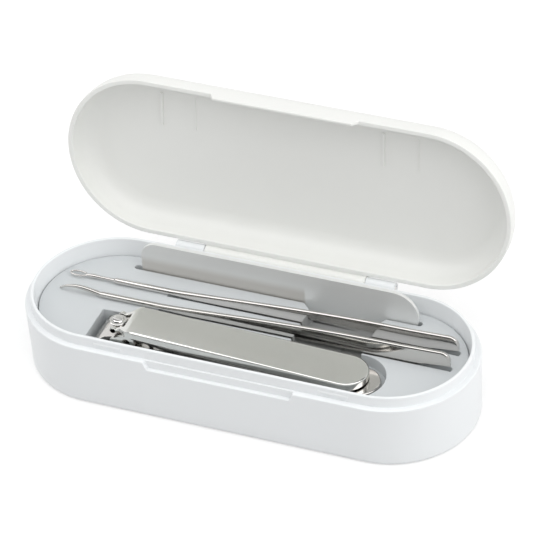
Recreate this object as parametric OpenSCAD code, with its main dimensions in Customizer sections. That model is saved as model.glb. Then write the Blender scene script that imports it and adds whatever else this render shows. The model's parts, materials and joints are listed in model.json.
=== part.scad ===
// Pocket manicure set: a hinged pill-shaped case with a tray, a nail clipper, a nail file and two picks.
// Millimetres. +X runs along the length, +Y to the hinge side, +Z up; the origin is the underside's centre.

/* [Case] */
// Overall length of the case
case_l = 122; // [112:1:150]
// Overall width of the case, without the hinge
case_w = 45.3; // [42:0.1:56]
// Height of the base up to its shoulder, where the lid meets it
base_h = 18.1; // [16:0.1:24]
// Depth of the lid
lid_h = 9; // [8:0.1:12]
// Thickness of the base wall at its rim
wall = 2.5; // [2.3:0.1:3]
// Thickness of the base floor
floor_t = 1.8; // [1.2:0.1:2.4]
// Thickness of the lid's top
lid_t = 1.5; // [1.2:0.1:2]
// Thickness of the lid's rim
rim_t = 1.3; // [1:0.1:1.4]
// Height of the lip that stands up inside the lid
lip_h = 2.1; // [1.6:0.1:3]
// Play between the lip and the lid's rim
lip_gap = 0.3; // [0.3:0.05:0.35]
// Play between the closed lid and the shoulder
part_gap = 0.1; // [0.05:0.05:0.3]
// Draft of the outer walls, in degrees
draft = 1.2; // [0.5:0.1:2]
// Radius of the base's bottom edge
foot_r = 1.2; // [0.6:0.1:2]
// Radius of the lid's top edge
crown_r = 6.5; // [4:0.1:7]

/* [Hinge] */
// Angle between the closed lid and the open lid on its stop
open_angle = 97.3; // [60:0.1:110]
// Length of the whole hinge
hinge_l = 61; // [50:1:70]
// Radius of the knuckles
barrel_r = 1.6; // [1.3:0.05:2]
// Radius of the hinge pin
pin_r = 0.75; // [0.6:0.05:0.8]
// Running clearance between the pin and the lid's knuckles
pin_play = 0.05; // [0.03:0.01:0.1]
// Gap between a knuckle and the other part's wall
knuckle_gap = 0.3; // [0.3:0.05:0.5]
// End play between two knuckles
knuckle_play = 0.15; // [0.1:0.05:0.3]

/* [Thumb catch] */
// Width of the lid's thumb tab
tab_w = 40; // [30:1:46]
// Drop of the tab below the lid's rim
tab_h = 2; // [1.4:0.1:2.6]
// Thickness of the tab
tab_t = 0.8; // [0.6:0.1:0.9]
// Distance of each snap bump from the middle
snap_x = 30.6; // [24:0.1:34]
// Width of a snap bump
snap_w = 8; // [5:0.5:10]

/* [Tray] */
// Drop of the tray's top below the shoulder
tray_drop = 1.9; // [1.6:0.1:2.6]
// Thickness of the tray's plate and of its pocket walls
tray_t = 1.2; // [1:0.1:1.4]
// Play between the tray and the case wall
tray_gap = 0.2; // [0.15:0.05:0.3]
// Play on each side of a piece in its slot
slot_gap = 0.3; // [0.25:0.05:0.5]
// Middle of the finger trough along the case
trough_x = 20.8; // [12:0.1:24]
// Width of the finger trough
trough_w = 19; // [14:0.1:20]
// Depth of the finger trough
trough_d = 5.6; // [5.3:0.1:9]

/* [Nail file] */
// Length of the nail file
file_l = 76.6; // [60:0.1:84]
// Thickness of the nail file
file_t = 1; // [0.8:0.1:1.4]
// Depth of the file's slot below the tray's top
file_sink = 5.2; // [4:0.1:6]
// Distance of the file from the tray's rear edge
file_inset = 4.1; // [3.6:0.1:5]

/* [Picks] */
// Radius of a pick's shaft
shaft_r = 0.8; // [0.6:0.05:0.9]
// Height of a pick's flat handle, which stands on edge
handle_w = 8.6; // [7:0.1:9.4]
// Thickness of a pick's flat handle
handle_t = 1.1; // [0.9:0.1:1.4]
// Distance of each pick's tip from the tray's end
pick_margin = 4.6; // [3:0.1:8]

/* [Nail clipper] */
// Distance from the clipper's post to its rear end
arm_reach = 71.2; // [58:0.1:74]
// Distance from the clipper's post to its cutting edges
jaw_reach = 5; // [4.6:0.1:6]
// Thickness of an arm
arm_t = 1.1; // [1:0.05:1.2]
// Width of the arms at their rear end
arm_w = 11.2; // [10:0.1:12]
// Width of the arms at the waist beside the post
waist_w = 8.4; // [7.6:0.1:8.6]
// Width of the jaws
jaw_w = 10.4; // [9:0.1:10.8]
// Gap between the two cutting edges
bite = 1; // [0.8:0.1:1.4]
// Radius of the post's shank
post_r = 1.5; // [1.2:0.1:1.6]
// Width of the lever at the post
lever_w = 10.8; // [10.4:0.1:11.2]

/* [Hidden] */

eps = 0.02;
$fn = 64;
white = [0.95, 0.96, 0.96];
pale_grey = [0.80, 0.82, 0.83];
satin = [0.70, 0.70, 0.68];
polished = [0.82, 0.82, 0.82];

// Case
half_w = case_w / 2;
straight = case_l - case_w;
slope = tan(draft);
shoulder = rim_t + lip_gap;
lip_edge_r = 0.25;
rim_z = base_h + part_gap;
lid_top = rim_z + lid_h;
ceiling_z = lid_top - lid_t;
inner_crown_r = crown_r - lid_t;
inner_foot_r = 1.5;

// Hinge: the axis lies behind the rear wall at the height of the parting line
hinge_off = barrel_r + knuckle_gap;
hinge_y = half_w + hinge_off;
hinge_z = base_h + part_gap / 2;
outer_knuckle = 8;
lid_knuckle = hinge_l - 2 * outer_knuckle - 2 * knuckle_play;
stop_gap = 0.05;
press_play = 0.01;
web_r = barrel_r - 0.08;
web_bite = 0.7;
base_web_h = 5.8;
lid_web_h = 4.4;
lid_web_lean = 0.4;
web_side = 30;
heel_h = 2;

// Thumb catch and snaps
tab_slant = 1;
tab_root = 1;
tab_inset = 0.05;
notch_gap = 0.3;
cut_over = 1;
snap_r = 0.8;
snap_proud = 0.2;
snap_z = base_h + lip_h * 0.6;
groove_in = 0.4;
mark_pitch = 9.4;
mark_w = 0.5;
mark_h = 0.3;
mark_l = 9.6;
mark_inset = 6.6;
mark_root = 0.5;

// Tray
wall_taper = 0.6;
tray_z = base_h - tray_drop;
tray_half_w = half_w - wall - wall_taper - tray_gap;
tray_bottom = tray_z - tray_t;
tray_edge_r = 0.4;
seat_w = 1.6;
seat_d = 1.1;
seat_bite = 0.8;
trough_behind = 1.6;
trough_ease = 2.2;
seat_x = [-35, -13, 7, 35];

// Nail file, with its head room under the closed lid
head_gap = 0.7;
file_floor = tray_z - file_sink;
file_w = ceiling_z - head_gap - file_floor;
file_corner_r = 4.5;
file_shift = 1.9;
file_y = tray_half_w - file_inset;
file_end_gap = 1.5;

// Nail clipper: x from its post towards the rear, z from the middle plane between its arms
clip_x = -0.46 * arm_reach;
clip_sink = 2.3;
clip_z = tray_z - clip_sink;
arm_spread = 2.15;
rivet_x = arm_reach - 6.6;
rivet_r = 1.2;
rivet_head_r = 1.9;
rivet_head_h = 0.5;
arm_gap = 0.05;
arm_crest = 6;
bow = tan(arm_spread);
waist_from = -2.4;
waist_to = 8.5;
waist_run = 5;
waist_step = 0.6;
jaw_run = 1.2;
nose_bend = 1.9;
nose_land = 0.25;
edge_land = 0.1;
through_h = 20;
post_hole_play = 0.35;
post_head_r = 2.25;
post_head_h = 0.85;
collar_r = 2.25;
cross_pin_r = 0.5;
lever_plate_t = 1.1;
lever_flange_t = 0.9;
lever_grow = 1.1;
lever_z = 3.85;
lever_rise = 2.4;
lever_tilt = 2.1;
lever_end = arm_reach - 3.1;
lever_bevel = 0.3;
lever_pan = 2.2;
ramp_from = -0.9;
ramp_to = 5.2;
fork_w = 5.2;
ear_r = 2.25;
ear_x = 4.4;
ear_z = -1.5;
ear_nose_r = 1.1;
ear_nose_x = 0.8;
ear_nose_z = -2;
ear_hole_r = 1;
tine_r = 0.85;
tine_w = 1.1;
tine_to = 1.9;
shoulder_x = 4;
fork_d = 2.8;
cap_r = 1.6;
cap_h = 0.55;
collar_t = 0.3;

// Clipper pocket in the tray, narrower at the jaws
pocket_land = 1.7;
pocket_rear_r = 8.5;
pocket_jaw_half = jaw_w / 2 + slot_gap;
pocket_end_gap = 1.2;
pocket_jaw_gap = 1.8;
clip_y = -tray_half_w + pocket_land + pocket_rear_r;
pocket_x0 = clip_x - jaw_reach - pocket_jaw_gap;
pocket_x1 = clip_x + arm_reach + pocket_end_gap - pocket_rear_r;
post_seat = arm_nose(0) - 0.05;
pocket_floor = clip_z - max(post_seat + post_head_h, arm_outer(arm_crest)) - arm_gap;
rest_floor = clip_z - arm_outer(rivet_x) - arm_gap;
rest_l = 9;
rest_run = 20;
nose_steps = 12;

// Picks
pick_axis_z = tray_z + shaft_r;
pick_half_l = case_l / 2 - wall - tray_gap - pick_margin;
front_pick_y = clip_y + pocket_rear_r + 1.4;
rear_pick_y = front_pick_y + (file_y - front_pick_y) * 0.44;
pick_slot_x0 = -25;
pick_slot_short = 0.5;
pick_floor = pick_axis_z - handle_w / 2;
handle_from = -25;
handle_full = 40;
handle_flat_run = 20;
handle_swell = 0.4;
flare_power = 1.2;
handle_end_r = 1.6;
handle_edge = 0.2;
sides = 16;

// Height of an arm's inner and outer face above the middle plane, x counted from the post
function arm_inner(x) = arm_gap + max(0, rivet_x - x) * bow;
function arm_outer(x) = arm_inner(x) + arm_t;

// Points on an arc from angle a0 to a1
function arc(cx, cy, r, a0, a1, steps) =
    [for (i = [0:steps]) let (a = a0 + (a1 - a0) * i / steps) [cx + r * cos(a), cy + r * sin(a)]];

// One section of a pick: a flat bar with round edges, half ty thick and half hz high
function bar_section(x, cz, ty, hz) =
    [for (i = [0:sides - 1]) let (a = 360 * (i + 0.5) / sides)
        [x, ty * cos(a), cz + ty * sin(a) + (hz - ty) * sign(sin(a))]];

// Solid through a row of sections
module loft(sections) {
    n = len(sections[0]);
    m = len(sections);
    points = [for (s = sections) each s];
    walls = [for (j = [0:m - 2]) for (i = [0:n - 1])
        [j * n + i, j * n + (i + 1) % n, (j + 1) * n + (i + 1) % n, (j + 1) * n + i]];
    first = [for (i = [n - 1:-1:0]) i];
    last = [for (i = [0:n - 1]) (m - 1) * n + i];
    polyhedron(points, concat(walls, [first, last]), convexity = 4);
}

// Run a profile of radius and height round both ends of the pill and along its straight sides
module pill(profile) {
    for (side = [-1, 1])
        translate([side * straight / 2, 0, 0])
            rotate([0, 0, -90 * side])
                rotate_extrude(angle = 180)
                    polygon(profile);
    rotate([90, 0, 90])
        translate([0, 0, -straight / 2])
            linear_extrude(straight) {
                polygon(profile);
                mirror([1, 0, 0]) polygon(profile);
            }
}

// Extrude a drawing of y and z along x
module along_x(x0, x1) {
    rotate([90, 0, 90])
        translate([0, 0, x0])
            linear_extrude(x1 - x0)
                children();
}

// Extrude a drawing of x and z across y, centred
module across_y(w) {
    rotate([90, 0, 0])
        linear_extrude(w, center = true)
            children();
}

module rod_x(x0, x1, r) {
    translate([x0, 0, 0])
        rotate([0, 90, 0])
            cylinder(r = r, h = x1 - x0);
}

module rod_y(w, r) {
    rotate([90, 0, 0])
        cylinder(r = r, h = w, center = true);
}

module at_hinge() {
    translate([0, hinge_y, hinge_z])
        children();
}

// Turn the closed lid back to its open stop
module lid_open() {
    at_hinge()
        rotate([-open_angle, 0, 0])
            translate([0, -hinge_y, -hinge_z])
                children();
}

// First x of knuckle k, counted from the left
function knuckle_x(k) = -hinge_l / 2
    + (k > 0 ? outer_knuckle + knuckle_play : 0)
    + (k > 1 ? lid_knuckle + knuckle_play : 0);
function knuckle_l(k) = k == 1 ? lid_knuckle : outer_knuckle;

// Outline of the base wall and floor
function base_profile() = concat(
    [[0, 0]],
    arc(half_w - base_h * slope - foot_r, foot_r, foot_r, -90, 0, 6),
    [[half_w, base_h], [half_w - shoulder, base_h]],
    arc(half_w - shoulder - lip_edge_r, base_h + lip_h - lip_edge_r, lip_edge_r, 0, 90, 3),
    arc(half_w - wall + lip_edge_r, base_h + lip_h - lip_edge_r, lip_edge_r, 90, 180, 3),
    [[half_w - wall - wall_taper, tray_z]],
    arc(half_w - wall - wall_taper - inner_foot_r, floor_t + inner_foot_r, inner_foot_r, 0, -90, 5),
    [[0, floor_t]]);

// Slanted drawing of the thumb tab, g larger all round
module tab_outline(g) {
    polygon([
        [-tab_w / 2 - g - eps * tab_slant, tab_root],
        [tab_w / 2 + g + eps * tab_slant, tab_root],
        [tab_w / 2 + g, 0],
        [tab_w / 2 + g - tab_slant, -tab_h - g],
        [-tab_w / 2 - g + tab_slant, -tab_h - g],
        [-tab_w / 2 - g, 0]]);
}

// End view of a base knuckle: barrel, web down the rear wall and tight hole for the pin
module base_knuckle_outline() {
    difference() {
        union() {
            circle(r = barrel_r);
            polygon([[-hinge_off - web_bite, -knuckle_gap],
                     [0, -knuckle_gap],
                     [web_r * cos(web_side), -web_r * sin(web_side)],
                     [-hinge_off, -base_web_h],
                     [-hinge_off - web_bite, -base_web_h]]);
        }
        circle(r = pin_r + press_play);
    }
}

module base_shell() {
    notch_d = tab_t + notch_gap;
    color(white)
    difference() {
        union() {
            pill(base_profile());
            at_hinge()
                for (k = [0, 2])
                    along_x(knuckle_x(k), knuckle_x(k) + knuckle_l(k))
                        base_knuckle_outline();
            for (side = [-1, 1])
                translate([side * snap_x, -half_w + shoulder + snap_r - snap_proud, snap_z])
                    rod_x(-snap_w / 2, snap_w / 2, snap_r);
            tray_seats();
        }
        // Notch that the thumb tab drops into
        translate([0, -half_w + notch_d / 2 - cut_over, base_h])
            across_y(notch_d + 2 * cut_over)
                tab_outline(notch_gap);
    }
}

// Ribs on the inside of the long walls that carry the tray's plate
module tray_seats() {
    seat_y = half_w - wall - wall_taper - seat_d;
    for (x = seat_x)
        for (side = [-1, 1])
            translate([x - seat_w / 2, side > 0 ? seat_y : -seat_y - seat_d - seat_bite, floor_t - eps])
                cube([seat_w, seat_d + seat_bite, tray_bottom - floor_t + eps]);
}

module hinge_pin() {
    color(polished)
    at_hinge()
        rod_x(-hinge_l / 2, hinge_l / 2, pin_r);
}

// Outline of the lid wall and top, with the lid closed
function lid_profile() = concat(
    [[half_w - rim_t, rim_z], [half_w, rim_z]],
    arc(half_w - (lid_h - crown_r) * slope - crown_r, lid_top - crown_r, crown_r, 0, 90, 10),
    [[0, lid_top], [0, ceiling_z]],
    arc(half_w - rim_t - 0.1 - inner_crown_r, ceiling_z - inner_crown_r, inner_crown_r, 90, 0, 9));

// End view of a lid knuckle: barrel, web up the closed lid's wall, and a heel
// that comes flat against the base's rear wall and stops the open lid
module lid_knuckle_outline() {
    heel_y = -hinge_off + stop_gap;
    difference() {
        union() {
            circle(r = barrel_r);
            polygon([[-hinge_off - web_bite, knuckle_gap],
                     [0, knuckle_gap],
                     [web_r * cos(web_side), web_r * sin(web_side)],
                     [-hinge_off - lid_web_lean, lid_web_h],
                     [-hinge_off - web_bite - lid_web_lean, lid_web_h]]);
            rotate(open_angle)
                polygon([[heel_y, knuckle_gap], [heel_y, -heel_h], [-pin_r, -heel_h - knuckle_gap],
                         [web_r * cos(2 * web_side), -web_r * sin(2 * web_side)], [0, knuckle_gap]]);
        }
        circle(r = pin_r + pin_play);
    }
}

module lid_shell() {
    color(white)
    lid_open()
        difference() {
            union() {
                pill(lid_profile());
                at_hinge()
                    along_x(knuckle_x(1), knuckle_x(1) + knuckle_l(1))
                        lid_knuckle_outline();
                // Thumb tab under the front of the rim, flush with the outside
                translate([0, -half_w + tab_t / 2 + tab_inset, rim_z])
                    across_y(tab_t)
                        tab_outline(0);
                lid_marks();
            }
            // Grooves that take the snap bumps
            for (side = [-1, 1])
                translate([side * snap_x, -half_w + rim_t + groove_in, snap_z])
                    rod_x(-snap_w / 2 - notch_gap, snap_w / 2 + notch_gap, snap_r);
        }
}

// Fine raised marks on the ceiling behind each snap groove
module lid_marks() {
    for (side = [-1, 1])
        for (edge = [-1, 1])
            translate([side * snap_x + edge * mark_pitch / 2 - mark_w / 2,
                       -half_w + mark_inset, ceiling_z - mark_h])
                cube([mark_w, mark_l, mark_h + mark_root]);
}

// Slot with round ends from x0 to x1, w wide, along y = 0
module slot_outline(x0, x1, w) {
    translate([x0, -w / 2]) square([x1 - x0, w]);
    for (x = [x0, x1])
        translate([x, 0]) circle(d = w);
}

module pocket_outline(g) {
    polygon([[pocket_x0 - g, -pocket_jaw_half - g],
             [pocket_x1, -pocket_rear_r - g],
             [pocket_x1, pocket_rear_r + g],
             [pocket_x0 - g, pocket_jaw_half + g]]);
    translate([pocket_x1, 0]) circle(r = pocket_rear_r + g);
}

module file_slot_outline(g) {
    translate([0, file_y])
        slot_outline(file_shift - file_l / 2 - file_end_gap, file_shift + file_l / 2,
                     file_t + 2 * slot_gap + 2 * g);
}

module pick_slot_outline(y, g) {
    translate([0, y])
        slot_outline(pick_slot_x0, pick_half_l - pick_slot_short, handle_t + 2 * slot_gap + 2 * g);
}

// Finger trough from behind the file to the clipper's pocket, with its corners eased at the file
module trough_outline(g) {
    rear = file_y + file_t / 2 + trough_behind;
    ease = trough_ease;
    edge = file_y - file_t / 2 - slot_gap;
    translate([trough_x - trough_w / 2 - g, clip_y])
        square([trough_w + 2 * g, rear - clip_y + g]);
    polygon([[trough_x - trough_w / 2 - g, edge - ease],
             [trough_x + trough_w / 2 + g, edge - ease],
             [trough_x + trough_w / 2 + g + ease / 2, edge + eps],
             [trough_x - trough_w / 2 - g - ease, edge + eps]]);
}

// Cut or block from height z0 up to z1
module column(z0, z1) {
    translate([0, 0, z0])
        linear_extrude(z1 - z0)
            children();
}

module tray() {
    above = tray_z + cut_over;
    rest_drop = pocket_floor - rest_floor - cut_over;
    edge = [[0, tray_bottom], [tray_half_w, tray_bottom]];
    color(pale_grey)
    difference() {
        union() {
            pill(concat(edge, arc(tray_half_w - tray_edge_r, tray_z - tray_edge_r, tray_edge_r, 0, 90, 4),
                        [[0, tray_z]]));
            column(pocket_floor - tray_t, tray_bottom + eps) translate([0, clip_y]) pocket_outline(tray_t);
            column(file_floor - tray_t, tray_bottom + eps) file_slot_outline(tray_t);
            column(pick_floor - tray_t, tray_bottom + eps) pick_slot_outline(front_pick_y, tray_t);
            column(pick_floor - tray_t, tray_bottom + eps) pick_slot_outline(rear_pick_y, tray_t);
            column(tray_z - trough_d - tray_t, tray_bottom + eps) trough_outline(tray_t);
        }
        // The clipper's pocket is shallower at the rear, where the joined arms rest
        difference() {
            column(pocket_floor, above) translate([0, clip_y]) pocket_outline(0);
            translate([clip_x + rivet_x, clip_y, rest_floor])
                across_y(2 * (pocket_rear_r + cut_over))
                    polygon([[-rest_l, rest_drop], [-rest_l, -rest_l * bow], [0, 0], [rest_run, 0],
                             [rest_run, rest_drop]]);
        }
        column(file_floor, above) file_slot_outline(0);
        column(pick_floor, above) pick_slot_outline(front_pick_y, 0);
        column(pick_floor, above) pick_slot_outline(rear_pick_y, 0);
        column(tray_z - trough_d, above) trough_outline(0);
    }
}

// Side view of the file: a half-round right end and two round corners at the left
module file_outline() {
    x0 = -file_l / 2;
    x1 = file_l / 2;
    translate([x1 - file_w / 2, file_w / 2]) circle(d = file_w);
    translate([x0 + file_corner_r, 0]) square([file_l - file_corner_r - file_w / 2, file_w]);
    translate([x0, file_corner_r]) square([file_corner_r + eps, file_w - 2 * file_corner_r]);
    for (z = [file_corner_r, file_w - file_corner_r])
        translate([x0 + file_corner_r, z]) circle(r = file_corner_r);
}

module nail_file() {
    color(satin)
    translate([file_shift, file_y, file_floor + arm_gap])
        across_y(file_t)
            file_outline();
}

// Half height of a pick's bar at x: a round shaft that flares into the flat handle
function handle_half(x) =
    let (t = min(1, max(0, (x - handle_from) / (handle_full - handle_from))))
    shaft_r + (handle_w / 2 - handle_swell - shaft_r) * pow(sin(90 * t), flare_power)
        + handle_swell * max(0, x - handle_full) / (pick_half_l - handle_full);
function handle_thick(x) =
    let (t = min(1, max(0, (x - handle_from) / handle_flat_run)))
    shaft_r + (handle_t / 2 - shaft_r) * t;

// Sections of the flat handle from x0 to its rounded end
function handle_sections(x0) =
    let (r = handle_end_r, steps = 22, span = pick_half_l - r - x0)
    concat(
        [for (i = [0:steps]) let (x = x0 + span * i / steps)
            bar_section(x, 0, handle_thick(x), handle_half(x))],
        [for (a = [22.5:22.5:67.5]) let (x = pick_half_l - r + r * sin(a))
            bar_section(x, 0, handle_t / 2, handle_half(x) - r * (1 - cos(a)))],
        [bar_section(pick_half_l, 0, handle_t / 2 - handle_edge, handle_half(pick_half_l) - r)]);

// Wire ring at the pick's tip, longer than it is wide
module wire_loop(a, b, r) {
    m = 24;
    n = 8;
    points = [for (j = [0:m - 1]) for (i = [0:n - 1])
        let (t = 360 * j / m, u = 360 * i / n,
             nx = b * cos(t), ny = a * sin(t), l = norm([nx, ny]))
        [a * cos(t) + r * cos(u) * nx / l, b * sin(t) + r * cos(u) * ny / l, r * sin(u)]];
    faces = [for (j = [0:m - 1]) for (i = [0:n - 1])
        [j * n + i, ((j + 1) % m) * n + i, ((j + 1) % m) * n + (i + 1) % n, j * n + (i + 1) % n]];
    polyhedron(points, [for (f = faces) [f[3], f[2], f[1], f[0]]], convexity = 6);
}

module loop_pick() {
    loop_a = 2.3;
    loop_b = 0.9;
    loop_r = 0.28;
    neck_x = -pick_half_l + 2 * (loop_a + loop_r);
    collar_x = neck_x + 8;
    color(polished)
    translate([0, rear_pick_y, pick_axis_z + arm_gap]) {
        loft(concat(
            [bar_section(neck_x - 0.5, 0, 0.3, 0.3),
             bar_section(neck_x + 1.5, 0, 0.62, 0.62),
             bar_section(neck_x + 4, 0, 0.42, 0.42),
             bar_section(collar_x - 0.6, 0, 0.5, 0.5),
             bar_section(collar_x, 0, shaft_r, shaft_r)],
            handle_sections(handle_from)));
        translate([-pick_half_l + loop_a + loop_r, 0, 0])
            wire_loop(loop_a, loop_b, loop_r);
    }
}

module hook_pick() {
    tip_x = -pick_half_l;
    hook_l = 11.5;
    crest = 1.1;
    steps = 14;
    color(polished)
    translate([0, front_pick_y, pick_axis_z + arm_gap])
        loft(concat(
            [for (i = [0:steps])
                let (t = i / steps,
                     lift = crest * sin(180 * pow(t, 0.75)) - 0.5 * pow(1 - t, 3),
                     thin = 0.26 + 0.36 * min(1, t * 1.6),
                     flat = i == 0 ? 0.2 : 0.32 + 0.3 * min(1, t * 1.3))
                bar_section(tip_x + hook_l * t, lift, thin, max(thin, flat))],
            [bar_section(tip_x + hook_l + 0.5, 0, shaft_r, shaft_r)],
            handle_sections(handle_from)));
}

module at_clipper() {
    translate([clip_x, clip_y, clip_z])
        children();
}

// Plan of an arm: round at the rear, waisted beside the post, flared at the jaw
module arm_plan() {
    rear = arm_reach - arm_w / 2;
    translate([rear, 0]) circle(d = arm_w);
    polygon([[rear, -arm_w / 2], [rear, arm_w / 2],
             [waist_to + waist_run, arm_w / 2 - waist_step],
             [waist_to, waist_w / 2], [waist_from, waist_w / 2],
             [-jaw_reach + jaw_run, jaw_w / 2], [-jaw_reach - cut_over, jaw_w / 2],
             [-jaw_reach - cut_over, -jaw_w / 2], [-jaw_reach + jaw_run, -jaw_w / 2],
             [waist_from, -waist_w / 2], [waist_to, -waist_w / 2],
             [waist_to + waist_run, -arm_w / 2 + waist_step]]);
}

// Height of an arm's outer face ahead of its crest, where it curves down to the jaw
function arm_nose(x) = arm_outer(arm_crest) - (arm_outer(arm_crest) - bite / 2 - nose_land)
    * pow((arm_crest - x) / (arm_crest + jaw_reach), nose_bend);

// Side view of the upper arm: straight from the rear, then curved down to a ground edge at the jaw
module arm_side() {
    tip = -jaw_reach;
    end = arm_reach + cut_over;
    step = (arm_crest - tip) / nose_steps;
    polygon(concat(
        [[end, arm_gap], [end, arm_gap + arm_t], [rivet_x, arm_outer(rivet_x)]],
        [for (k = [0:nose_steps]) let (x = arm_crest - k * step) [x, arm_nose(x)]],
        [[tip, bite / 2]],
        [for (k = [nose_steps - 1:-1:0]) let (x = arm_crest - k * step)
            [x, max(bite / 2 + edge_land, arm_nose(x) - arm_t)]],
        [[rivet_x, arm_gap]]));
}

module arm_body() {
    intersection() {
        linear_extrude(through_h, center = true) arm_plan();
        across_y(arm_w + 2) arm_side();
    }
}

module clipper_upper_arm() {
    color(polished)
    at_clipper()
        difference() {
            arm_body();
            cylinder(r = post_r + post_hole_play, h = through_h, center = true);
            translate([rivet_x, 0, 0]) cylinder(r = rivet_r + 0.05, h = through_h, center = true);
        }
}

module clipper_lower_arm() {
    color(polished)
    at_clipper()
        difference() {
            mirror([0, 0, 1]) arm_body();
            cylinder(r = post_r + 0.02, h = through_h, center = true);
            // Flat that the post's foot sits on
            translate([0, 0, -post_seat - 3]) cylinder(r = post_head_r + 0.1, h = 3);
            translate([rivet_x, 0, 0]) cylinder(r = rivet_r + 0.01, h = through_h, center = true);
        }
}

// Rivet that joins the arms at the rear, with a flat head above and below
module clipper_rivet() {
    reach = arm_outer(rivet_x);
    color(polished)
    at_clipper()
        translate([rivet_x, 0, 0]) {
            translate([0, 0, -reach]) cylinder(r = rivet_r, h = 2 * (reach + 2 * arm_gap));
            translate([0, 0, reach + 2 * arm_gap]) cylinder(r = rivet_head_r, h = rivet_head_h);
        }
}

// Post through both arms: head below, waist for the cross pin, collar and domed cap above
module clipper_post() {
    foot = post_seat + post_head_h;
    collar_z = lever_z + cross_pin_r;
    color(polished)
    at_clipper()
        difference() {
            union() {
                translate([0, 0, -foot]) cylinder(r = post_head_r, h = post_head_h - 0.02);
                translate([0, 0, -foot]) cylinder(r = post_r, h = foot + collar_z + 0.1);
                translate([0, 0, collar_z]) cylinder(r = collar_r, h = collar_t);
                translate([0, 0, collar_z + collar_t])
                    rotate_extrude()
                        polygon(concat([[0, 0]], [for (a = [0:15:90]) [cap_r * cos(a), cap_h * sin(a)]]));
            }
            translate([0, 0, lever_z]) rod_y(through_h, cross_pin_r + 0.01);
        }
}

module clipper_cross_pin() {
    color(polished)
    at_clipper()
        translate([0, 0, lever_z])
            rod_y(fork_w + 2 * tine_w, cross_pin_r);
}

// Lever outline, x from its pivot, inset by g: it widens to a half-round end
module lever_outline(g) {
    w0 = lever_w / 2 - g;
    w1 = lever_w / 2 + lever_grow / 2 - g;
    centre = lever_end - lever_w / 2 - lever_grow / 2;
    translate([centre, 0]) circle(r = w1);
    polygon([[ramp_to + g, -w0], [centre, -w1], [centre, w1], [ramp_to + g, w0]]);
}

// Plan of the lever's nose: two tines beside the post, then shoulders out to the full width
module fork_outline() {
    tine = fork_w / 2 + tine_w;
    side = lever_w / 2;
    near = ramp_from - cut_over;
    far = ramp_to + cut_over;
    polygon([[near, -tine], [tine_to, -tine], [shoulder_x, -side], [far, -side],
             [far, side], [shoulder_x, side], [tine_to, tine], [near, tine]]);
}

// Side view of a round ear, which hangs from the lever's rim beside the upper arm
module ear_outline() {
    hull() {
        translate([ear_x, ear_z]) circle(r = ear_r);
        translate([ear_nose_x, ear_nose_z]) circle(r = ear_nose_r);
    }
    under = lever_rise - lever_plate_t;
    polygon([[shoulder_x, ear_z], [shoulder_x, under], [ramp_to + cut_over, under],
             [ear_x + ear_r, ear_z + ear_r / 2], [ear_x, ear_z]]);
}

// Side view of the ramp from the lever's face down to the fork
module ramp_side(top, under) {
    half = tine_r * 0.7;
    polygon([[ramp_from, half / 2], [ramp_from, -half / 2], [ramp_from + half, -tine_r], [half, -half],
             [ramp_to + lever_bevel, under], [ramp_to + lever_bevel, top], [ramp_to - lever_bevel, top],
             [tine_r, half]]);
}

// Pressed lever lying flat on the arms: a shallow pan whose nose ramps down into a fork round the post
module clipper_lever() {
    top = lever_rise;
    pan = top - lever_pan;
    under = top - lever_plate_t;
    color(satin)
    at_clipper()
        translate([0, 0, lever_z])
            rotate([0, lever_tilt, 0])
                difference() {
                    union() {
                        difference() {
                            hull() {
                                column(pan, top - lever_bevel) lever_outline(0, $fn = 48);
                                column(pan, top) lever_outline(lever_bevel, $fn = 48);
                            }
                            column(pan - cut_over, under) lever_outline(lever_flange_t);
                        }
                        intersection() {
                            column(-tine_r, top + cut_over) fork_outline();
                            across_y(lever_w)
                                ramp_side(top, under);
                        }
                        for (side = [-1, 1])
                            translate([0, side * (lever_w - lever_flange_t) / 2, 0])
                                across_y(lever_flange_t)
                                    ear_outline();
                        for (side = [-1, 1])
                            translate([0, side * (fork_w + tine_w) / 2, 0])
                                rod_y(tine_w, tine_r);
                    }
                    // Fork mouth for the post, and the holes for the cross pin and in the lobes
                    translate([fork_d - through_h, -fork_w / 2, -through_h / 2])
                        cube([through_h, fork_w, through_h]);
                    rod_y(through_h, cross_pin_r + arm_gap);
                    translate([ear_x, 0, ear_z]) rod_y(through_h, ear_hole_r);
                }
}

base_shell();
tray();
hinge_pin();
lid_shell();
nail_file();
loop_pick();
hook_pick();
clipper_lower_arm();
clipper_upper_arm();
clipper_rivet();
clipper_post();
clipper_cross_pin();
clipper_lever();
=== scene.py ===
"""Pocket manicure case: finishes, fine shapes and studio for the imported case, tray and tools.

Every class stands for one sub-assembly of the object, holds its sizes in millimetres and builds its own pieces.
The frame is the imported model's: +X along the case, +Y to the hinge, +Z up, metres.
"""

from __future__ import annotations

import json
import logging
import math
from collections.abc import Callable, Iterable
from dataclasses import dataclass, field
from enum import Enum

import bmesh
import bpy
from bmesh.types import BMEdge, BMesh, BMVert
from bpy.types import Material, Node, NodeSocket, NodeTree
from mathutils import Matrix, Vector

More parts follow.
